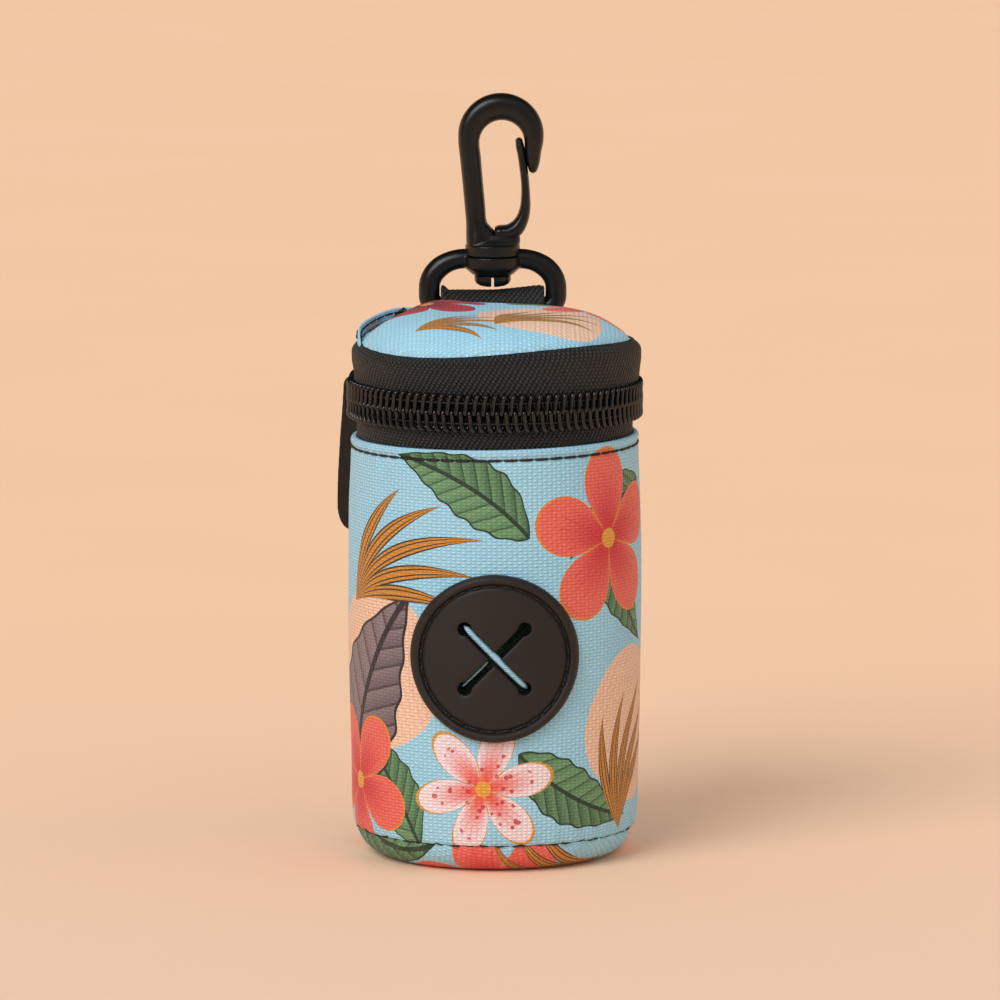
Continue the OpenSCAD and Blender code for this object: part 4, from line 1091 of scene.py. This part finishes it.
a = np.linspace(*FACING, 220)
q = np.linspace(0, 1, 16)[:, None]
far = np.linspace(0, 6, 33)
flat = np.stack(np.broadcast_arrays(700 - a[None, :] * FLAT_R, far[:, None]), -1)
facing = skin("rim_facing_strip", np.concatenate([facing_point(a, q, 1),
                                                  facing_point(a, q[::-1], -1)]), flat, loop=True,
              weld=True)
put(facing, "lid", printed_oxford("printed_oxford_facing", [("green", 640, 3, 80, 20)]),
    "printed_cloth", "rim_facing")
rows = []
for side in (-1, 1):
    def facing_place(s, side=side):
        a = FACING[0] + FACING_IN + s / FLAT_R
        out = side * round_at(a, 1.0, 0.0)
        return facing_point(a, np.full_like(a, FACING_ROW), side) + 0.03 * out, out
    rows.append(stitches("row", facing_place, (FACING[1] - FACING[0] - 2 * FACING_IN) * FLAT_R,
                         thread_d=0.3))
put(joined("facing_topstitch", rows), "lid", THREAD, "printed_cloth")

# Webbing loop: black polyester webbing folded round the ring's bar, its two ends box-stitched to
# the lid's back. Its cords run on the slant and stand up as ribs; the ring's bends push both
# selvedges up.
STRAP_X = -0.4
STRAP_W = 18.2
STRAP_T = 1.2
BAR_Y = 26.2
BAR_Z = 91.9
CORD_GAP = 0.95
STRAP_COLS = 190
BOX_X = 6.6
BOX_LOW, BOX_HIGH = 1.2, 5.4
STRAP_LINE = [(25.62, 82.55), (25.62, 84.5), (25.62, 86.6), (25.55, 88.3), (24.95, 89.8),
              (23.95, 90.95), (23.58, 92.0), (23.9, 93.25), (24.85, 94.2), (26.2, 94.55),
              (27.55, 94.2), (28.5, 93.25), (28.85, 91.9), (28.5, 90.5), (27.55, 89.3),
              (26.9, 88.0), (26.85, 86.4), (26.85, 84.5), (26.85, 82.55)]


def distances(points):
    """How far along a line each of its points is."""
    return np.concatenate([[0], np.cumsum(np.linalg.norm(np.diff(points, axis=0), axis=1))])


def smooth_through(knots, count):
    """Points along a smooth curve through knots; further columns, such as widths, are eased along
    with them.
    """
    knots = np.asarray(knots, float)
    t = distances(knots[:, :2])
    slope = np.gradient(knots, t, axis=0)
    s = np.linspace(0, t[-1], count)
    i = np.clip(np.searchsorted(t, s, "right") - 1, 0, len(t) - 2)
    h = (t[i + 1] - t[i])[:, None]
    w = (s - t[i])[:, None] / h
    return ((2 * w ** 3 - 3 * w ** 2 + 1) * knots[i] + (w ** 3 - 2 * w ** 2 + w) * h * slope[i]
            + (3 * w ** 2 - 2 * w ** 3) * knots[i + 1] + (w ** 3 - w ** 2) * h * slope[i + 1])


strap_run = smooth_through(STRAP_LINE, 190)
strap_far = distances(strap_run)
STRAP_TOP = float(strap_far[np.argmax(strap_run[:, 1])])


def strap_point(w, s, lift):
    """Point of the webbing at w across and s along it, lifted towards the loop's outside."""
    (y0, y, y1), (z0, z, z1) = [[np.interp(s + d, strap_far, line) for d in (-0.2, 0, 0.2)]
                                for line in strap_run.T]
    dy, dz = y1 - y0, z1 - z0
    long = np.hypot(dy, dz)
    curl = 1.0 * step(-w, 7.6, 8.8) + 0.95 * np.clip(w / 9.1, 0, 1) ** 1.2 - 0.08
    curl = curl * np.exp(-((s - STRAP_TOP) / 3.2) ** 2)
    y, z = y - dz / long * (lift + curl), z + dy / long * (lift + curl)
    x = STRAP_X + w
    bend = 25.6 - np.sqrt(25.6 ** 2 - x ** 2)
    return np.stack(np.broadcast_arrays(x, y - bend * (1 - step(z, 88.4, 91.4)), z), -1)


def polyester_webbing():
    """Polyester webbing: heavy black yarns in slanting ribs, matt, with painted grey highlights on
    the crowns.
    """
    made, t = blank("polyester_webbing")
    p = add(t, "SeparateXYZ", add(t, "UVMap", uv_map="cloth"))
    cord = add(t, "Math MULTIPLY_ADD", p.outputs["Y"], -0.8, p.outputs["X"])
    crown_of = add(t, "Math MULTIPLY", cord, math.pi / CORD_GAP)
    crown_of = add(t, "Math ABSOLUTE", add(t, "Math SINE", crown_of))
    yarn = add(t, "Math MULTIPLY_ADD", p.outputs["Y"], 0.9, p.outputs["X"])
    yarn = add(t, "Math SINE", add(t, "Math MULTIPLY", yarn, 2 * math.pi / 0.7))
    tone = add(t, "Math MULTIPLY_ADD", yarn, 0.45, crown_of)
    tone = add(t, "MapRange", Value=tone, From_Min=0.3, From_Max=1.4)
    # The grey on the rib crowns is a painted highlight, and the black between them is painted
    # shade.
    ink = add(t, "Mix RGBA", tone, "#060606", "#343230")
    bump = add(t, "Bump", Height=tone, Strength=0.8, Distance=0.00015)
    return surface(made, t, Base_Color=ink, Roughness=0.6, Sheen_Weight=0.03, Normal=bump)


WEBBING = polyester_webbing()
w = np.linspace(-1, 1, STRAP_COLS)
w = np.concatenate([w, np.linspace(1, -1, STRAP_COLS)[1:-1]]) * STRAP_W / 2
face = np.concatenate([np.ones(STRAP_COLS), -np.ones(STRAP_COLS - 2)])
s = strap_far[:, None]
rib = 0.22 * (np.abs(np.sin(math.pi * (w - 0.8 * s) / CORD_GAP)) - 0.6)
half = (STRAP_T / 2 + rib - 0.05) * np.sqrt(np.clip(1 - np.abs(w / (STRAP_W / 2)) ** 16, 0, 1))
half[0] = half[-1] = 0
flat = np.stack(np.broadcast_arrays(np.append(w, w[0]), s), -1)
webbing = skin("webbing_loop", strap_point(w, s, half * face), flat, around=True, weld=True)
put(webbing, "lid", WEBBING, "webbing", "strap_loop")

a, b, c, d = ((-BOX_X, BOX_LOW), (BOX_X, BOX_LOW), (BOX_X, BOX_HIGH), (-BOX_X, BOX_HIGH))
box = [a, b, c, d, a, c, b, d]
runs = []
for (w0, s0), (w1, s1) in zip(box, box[1:]):
    def strap_place(s, w0=w0, s0=s0, w1=w1, s1=s1):
        k = s / math.hypot(w1 - w0, s1 - s0)
        points = strap_point(w0 + (w1 - w0) * k, strap_far[-1] - (s0 + (s1 - s0) * k),
                             np.full_like(s, 0.68))
        return points, unit(np.stack([points[..., 0], points[..., 1], 0 * k], -1))
    runs.append(stitches("run", strap_place, math.hypot(w1 - w0, s1 - s0), length=2.4))
put(joined("webbing_stitching", runs), "lid", THREAD, "webbing")

# Swivel ring: one injection moulding, a D of round bar whose arms run into the barrel that holds
# the hook's post. The barrel tapers below; its upper rim is crisp.
RING_D = 3.7
RING_X = 11.15
ARM_Z = 100.55
BARREL_R = 5.1
RING_KNOTS = 320


def fuse(name, pieces, voxel=0.12, rounds=3):
    """Melts overlapping pieces into one moulding with softened edges, by a fine remesh."""
    whole = joined(name, pieces) if len(pieces) > 1 else pieces[0]
    whole.name = name
    remesh = whole.modifiers.new("remesh", "REMESH")
    remesh.mode = "VOXEL"
    remesh.voxel_size = voxel * MM
    soften = whole.modifiers.new("soften", "SMOOTH")
    soften.factor = 0.5
    soften.iterations = rounds
    settle(whole)
    for face in whole.data.polygons:
        face.use_smooth = True
    return whole


def shifted(piece, x=0.0, y=0.0, turn=0.0):
    """Turns a piece's mesh about the upright axis and moves it, in millimetres and radians."""
    piece.data.transform(Matrix.Rotation(turn, 4, "Z"))
    piece.data.transform(Matrix.Translation((x * MM, y * MM, 0.0)))
    return piece


def moulded_nylon():
    """Injection-moulded black nylon: fine spark-eroded grain and a low, warm gloss."""
    return mottled("moulded_nylon", "#0c0b09", "#141210", (60.0, 3.0), (0.28, 0.38),
                   grain=(4000.0, 2.0, 0.25, 0.00003), IOR=1.53, Specular_IOR_Level=0.36)


def quarter(x, z, rx, rz, a0):
    """A quarter of an ellipse in the ring's plane."""
    k = np.radians(a0) + np.linspace(0, math.pi / 2, 24, endpoint=False)
    return [(x + rx * math.cos(n), z + rz * math.sin(n)) for n in k]


half_ring = (quarter(RING_X - 2.2, BAR_Z + 2.2, 2.2, 2.2, 270) + [(RING_X, 94.6)]
             + quarter(RING_X - 6.4, ARM_Z - 5.2, 6.4, 5.2, 0) + [(3.0, ARM_Z), (1.0, ARM_Z)])
ring_line = half_ring + [(-x, z) for x, z in half_ring[::-1]] + [(-5.0, BAR_Z), (0.0, BAR_Z),
                                                                 (5.0, BAR_Z)]
ring_line = smooth_through(ring_line + ring_line[:1], RING_KNOTS + 1)[:-1]
centre = np.stack([ring_line[:, 0] + STRAP_X, np.full(RING_KNOTS, BAR_Y), ring_line[:, 1]],
                  -1)[None]
girth = RING_D / 2 - 0.1 * step(ring_line[:, 1], 99, 100.4)
loop = tubes("ring", centre, np.broadcast_to([0, -1.0, 0], centre.shape), girth[None], sides=36,
             closed=True)
barrel_line = [(0, 97.7), (3.3, 97.7), (3.6, 97.85), (4.75, 98.85), (5.0, 99.1), (BARREL_R, 99.4),
               (BARREL_R, 100.9), (5.02, 101.0), (0, 101.0)]
cup = shifted(lathe("cup", barrel_line, around=96, weld=True, closed=False), STRAP_X, BAR_Y)
MOULDED = moulded_nylon()
put(fuse("swivel_d_ring", [loop, cup]), "ring", MOULDED, "hook_plastic", "swivel_ring")

# Snap hook: one nylon moulding of split post, collar, leg, bow and nose. Its sections are rounded
# squares, flat at the front, and its post was pushed through the barrel until it sprang open.
HOOK_DEPTH = 5.2
SPLIT_W = 0.45
BOW_OUT = (1.45, 122.35, 7.35)
BOW_IN = (1.65, 120.9, 4.05)
HEEL = [(0.0, 101.3, 4.5, 4.3), (0.05, 102.9, 4.62, 4.05), (0.1, 103.5, 4.74, 3.6),
        (0.12, 104.1, 4.74, 3.1), (0.1, 104.6, 4.7, 2.85), (0.1, 104.9, 4.6, 2.7)]
ROOT = [(-2.08, 102.8, 2.5, 3.4), (-2.08, 104.6, 2.58, 3.15), (-2.14, 105.4, 2.52, 3.0),
        (-2.47, 106.15, 2.19, 2.85), (-2.79, 106.9, 1.88, 2.72), (-2.92, 107.75, 1.79, 2.66),
        (-3.0, 108.7, 1.75, 2.6)]
LEG = [(-2.9, 107.2, 1.77, 2.64), (-3.05, 109.2, 1.8, 2.62), (-3.4, 113.1, 1.8, 2.6),
       (-3.85, 118.0, 1.84, 2.6)]
NOSE = [(7.1, 119.6, 1.48, 2.45), (7.12, 117.8, 1.2, 2.3), (7.1, 116.5, 0.85, 2.0),
        (7.08, 115.85, 0.5, 1.5), (7.08, 115.6, 0.12, 0.6)]


def limb(name, stations, count, square=0.72, level=False):
    """A limb along stations of (x, z, half width, half depth); level keeps its sections flat."""
    sides = 40
    run = smooth_through(stations, count)
    along = np.broadcast_to([0.0, 1.0], (count, 2)) if level else unit(np.gradient(run[:, :2],
                                                                                   axis=0))
    k = 2 * np.pi * np.arange(sides) / sides
    c, d = (np.sign(n) * np.abs(n) ** square for n in (np.cos(k), np.sin(k)))
    x = run[:, 0, None] + along[:, 1, None] * run[:, 2, None] * c
    z = run[:, 1, None] - along[:, 0, None] * run[:, 2, None] * c
    rings = np.stack([x + STRAP_X, run[:, 3, None] * d + BAR_Y, z], -1)
    ends = [np.repeat(ring.mean(0)[None], sides, 0)[None] for ring in (rings[0], rings[-1])]
    return skin(name, np.concatenate([ends[0], rings, ends[1]]), around=True, weld=True)


bow = []
for k in np.radians(np.arange(180, -1, -15)):
    x0, z0 = BOW_OUT[0] + BOW_OUT[2] * math.cos(k), BOW_OUT[1] + BOW_OUT[2] * math.sin(k)
    x1, z1 = BOW_IN[0] + BOW_IN[2] * math.cos(k), BOW_IN[1] + BOW_IN[2] * math.sin(k)
    bow.append(((x0 + x1) / 2, (z0 + z1) / 2, math.hypot(x0 - x1, z0 - z1) / 2, HOOK_DEPTH / 2))
arm = [limb("heel", HEEL, 40, level=True, square=0.8), limb("root", ROOT, 60, level=True),
       limb("arm", LEG + bow + NOSE, 210)]
collar_line = [(0, 101.1), (4.65, 101.1), (4.8, 101.25), (4.8, 102.95), (4.72, 103.05), (0, 103.1)]
collar = shifted(lathe("collar", collar_line, around=96, weld=True, closed=False), STRAP_X, BAR_Y)
post_line = [(0, 95.6), (1.4, 95.65), (2.3, 95.85), (2.95, 96.25), (3.2, 96.8), (3.2, 97.62),
             (2.3, 97.68), (2.3, 101.6), (0, 101.6)]
post = shifted(lathe("post", post_line, around=64, weld=True, closed=False), STRAP_X, BAR_Y)
split = bmesh.new()
bmesh.ops.create_cube(split, size=1, matrix=Matrix.Translation((STRAP_X * MM, BAR_Y * MM, 0.0960))
                      @ Matrix.Diagonal((SPLIT_W * MM, 0.012, 0.003, 1)))
carve(post, split)
put(fuse("snap_hook_body", [*arm, collar, post]), "hook", MOULDED, "hook_plastic", "snap_hook")

# Gate: the hook's springy tongue, moulded with it from the same nylon.
# It grows from the heel, cradles the window's foot and shuts inside the nose.
GATE = [(0.3, 105.3, 0.85, 2.2), (0.7, 105.25, 1.1, 2.5), (1.7, 105.2, 1.26, 2.65),
        (2.8, 105.25, 1.34, 2.7), (3.95, 105.75, 1.4, 2.6), (5.02, 107.15, 1.18, 2.35),
        (5.68, 109.3, 0.96, 2.2), (5.8, 111.4, 0.82, 2.18), (5.74, 113.6, 0.74, 2.15),
        (5.5, 116.0, 0.73, 2.1), (5.08, 118.8, 0.7, 2.0), (4.68, 121.0, 0.66, 1.9),
        (4.56, 121.7, 0.46, 1.5), (4.52, 121.9, 0.12, 0.5)]
put(fuse("hook_gate_tongue", [limb("tongue", GATE, 120)]), "gate", MOULDED, "hook_plastic",
    "hook_gate")

# Zip slider: die-cast zinc under baked black enamel, with a bridge over it for the puller.
# Its two plates are joined by a wedge at the mouth and have lips that keep the coils in.
SLIDER_A = math.radians(122)
SLIDER_L = 10.4
SLIDER_W = 9.0
TAIL_W = 6.8
SLIDER_CORNER = 2.0
BRIDGE_R = 28.86


def baked_enamel():
    """Baked black enamel on cast zinc: faint orange peel and a low, even gloss."""
    return mottled("baked_enamel", "#0b0a09", "#141211", (120.0, 2.0), (0.28, 0.4),
                   grain=(1400.0, 1.0, 0.25, 0.00004), IOR=1.5, Specular_IOR_Level=0.36)


def plate(name, outline, r0, r1):
    """A flat plate of that outline, between two distances from the pouch's axis."""
    outline = np.asarray(outline, float)
    rings = [np.stack([outline[:, 0], np.full(len(outline), -r), outline[:, 1]], -1)
             for r in (r0, r0, r1, r1)]
    for ring in (rings[0], rings[-1]):
        ring[:, 0], ring[:, 2] = ring[:, 0].mean(), ring[:, 2].mean()
    return skin(name, np.stack(rings), around=True, weld=True)


def bent_rod(name, knots, d, turn):
    """A round rod through knots in a plane at that turn from the slider's middle."""
    run = smooth_through(knots, 60)
    c, n = math.cos(turn), math.sin(turn)
    centre = np.stack([run[:, 0] * c, -run[:, 1], run[:, 0] * n + CHAIN_Z], -1)[None]
    return tubes(name, centre, np.broadcast_to([-n, 0, c], centre.shape), d / 2, sides=16)


def slider_outline():
    """Outline of a slider plate: wide at the mouth, narrow at the tail, round at its corners."""
    points = []
    for x, z, a0 in ((SLIDER_L / 2, TAIL_W / 2, 0), (-SLIDER_L / 2, SLIDER_W / 2, 90),
                     (-SLIDER_L / 2, -SLIDER_W / 2, 180), (SLIDER_L / 2, -TAIL_W / 2, 270)):
        r = SLIDER_CORNER
        x0, z0 = x - math.copysign(r, x), z - math.copysign(r, z)
        points += [(x0 + r * math.cos(k), z0 + r * math.sin(k) + CHAIN_Z)
                   for k in np.radians(np.linspace(a0, a0 + 90, 9))]
    return points


wedge = [(-5.0, 1.2), (-3.6, 1.7), (-1.8, 0.2), (-1.8, -0.2), (-3.6, -1.7), (-5.0, -1.2)]
parts = [plate("front", slider_outline(), 25.95, 26.91),
         plate("back", slider_outline(), 21.56, 22.5), plate("wedge",
                                                             [(x, z + CHAIN_Z) for x, z in wedge],
                                                             22.2, 26.2),
         bent_rod("bridge", [(-2.1, 26.5), (-2.05, 27.7), (-1.5, 28.62), (0, BRIDGE_R + 0.05),
                             (1.5, 28.62), (2.05, 27.7), (2.1, 26.5)], 1.25, 0.0)]
for side in (-1, 1):
    lip = [(-4.2, 4.5), (4.2, 3.95), (4.2, 3.5), (-4.2, 3.9)]
    parts.append(plate("lip", [(x, side * z + CHAIN_Z) for x, z in lip[::side]], 25.3, 26.3))
ENAMEL = baked_enamel()
slider = shifted(fuse("zip_slider_body", parts, rounds=5), turn=-SLIDER_A)
put(slider, "slider", ENAMEL, "black_metal", "zip_slider")

# Puller: a long flat tab with a rounded foot, stamped from the same metal and hung from the bridge
# by its eye.
EYE_R = 0.72
PULLER_LOW = 54.0
PULLER_FOOT = 4.4
TAPER = [(2.05, 3), (2.6, 9), (3.1, 16)]
PULLER_T = 1.8
k = np.radians(np.linspace(0, 180, 25))
foot_z = PULLER_LOW + PULLER_FOOT
tab = [(BRIDGE_R + 1.85 * math.cos(n), CHAIN_Z + 1.85 * math.sin(n)) for n in k]
tab += [(BRIDGE_R - half, CHAIN_Z - down) for half, down in TAPER]
tab += [(BRIDGE_R + 3.2 * math.copysign(abs(math.cos(n)) ** 0.8, math.cos(n)),
         foot_z + PULLER_FOOT * math.sin(n)) for n in k + math.pi]
tab += [(BRIDGE_R + half, CHAIN_Z - down) for half, down in TAPER[::-1]]
tab = np.array(tab)
sides = [np.stack([np.full(len(tab), x), -tab[:, 0], tab[:, 1]], -1) for x in PULLER_T / 2
         * np.array([-1, -1, 1, 1])]
for ring in (sides[0], sides[-1]):
    ring[:, 1], ring[:, 2] = -BRIDGE_R, CHAIN_Z - 14
blade = skin("blade", np.stack(sides), around=True, weld=True)
drill = bmesh.new()
bmesh.ops.create_cone(drill, cap_ends=True, segments=32, radius1=EYE_R * MM, radius2=EYE_R * MM,
                      depth=0.004, matrix=Matrix.Translation((0, -BRIDGE_R * MM, CHAIN_Z * MM))
                      @ Matrix.Rotation(math.pi / 2, 4, "Y"))
carve(blade, drill)
puller = shifted(fuse("zip_puller_tab", [blade], 0.13, rounds=6), turn=-SLIDER_A)
put(puller, "puller", ENAMEL, "black_metal", "zip_puller")

# Roll: thin green polyethylene bags wound flat on a cardboard core, standing loose on the floor
# lining. The windings show as a spiral on the ends, and the outermost bag's edge as a step down the
# side.
ROLL_R = 16.5
ROLL_LOW = 4.3
ROLL_HIGH = 60.3
CORE_R = 7.5
WIND_MM = 0.55
EDGE_STEP = 0.28


def blown_film():
    """Blown polyethylene film: waxy green, finely creased across the winding."""
    made, t = blank("blown_film")
    at = add(t, "TexCoord").outputs["Object"]
    tall = add(t, "Mapping", Vector=at, Scale=(1.0, 1.0, 0.12))
    crease = add(t, "TexNoise", Vector=tall, Scale=900.0, Detail=4.0)
    cloud = add(t, "TexNoise", Vector=at, Scale=70.0, Detail=2.0)
    ink = add(t, "Mix RGBA", cloud, "#4e7d49", "#689a5e")
    gloss = add(t, "MapRange", Value=crease, To_Min=0.3, To_Max=0.5)
    bump = add(t, "Bump", Height=crease, Strength=0.5, Distance=0.00015)
    return surface(made, t, Base_Color=ink, Roughness=gloss, IOR=1.51, Normal=bump)


def kraft_board():
    """Wound kraft board: brown paper with short darker fibres and a matt, slightly fuzzy face."""
    made, t = blank("kraft_board")
    at = add(t, "TexCoord").outputs["Object"]
    fibre = add(t, "TexNoise", Vector=at, Scale=1800.0, Detail=4.0)
    ink = add(t, "Mix RGBA", fibre, "#8d6f4c", "#c3a57b")
    bump = add(t, "Bump", Height=fibre, Strength=0.4, Distance=8e-05)
    return surface(made, t, Base_Color=ink, Roughness=0.85, Normal=bump)


a = 2 * np.pi * np.arange(240) / 240
reach = np.linspace(CORE_R + 0.1, ROLL_R - 0.3, 96)
wound = 0.14 * np.sin(2 * np.pi * reach[:, None] / WIND_MM - a)
outer_r = ROLL_R - 0.05 - EDGE_STEP * a / (2 * np.pi) + 0 * reach[:24, None]
side_z = np.linspace(ROLL_HIGH - 0.5, ROLL_LOW + 0.5, 24)[:, None]
outer_r = outer_r + 0.07 * np.sin(9 * a + side_z / 4)
radius = np.concatenate([reach[:, None] + 0 * a, outer_r, reach[::-1, None] + 0 * a])
height = np.concatenate([ROLL_HIGH - 0.25 + wound - 0.1, side_z + 0 * a,
                         (ROLL_LOW + 0.25 - wound + 0.1)[::-1]])
roll = skin("bag_roll_film", round_at(a, radius, height), around=True, loop=True)
put(roll, "roll", blown_film(), "bag_film", "bag_roll")
core_line = [(6.7, 3.45), (6.85, 3.3), (7.35, 3.3), (7.5, 3.45), (7.5, 61.15), (7.35, 61.3),
             (6.85, 61.3), (6.7, 61.15)]
put(lathe("roll_core_tube", core_line, ripple=0.02), "roll", kraft_board(), "core_card",
    "roll_core")


bpy.context.view_layer.update()
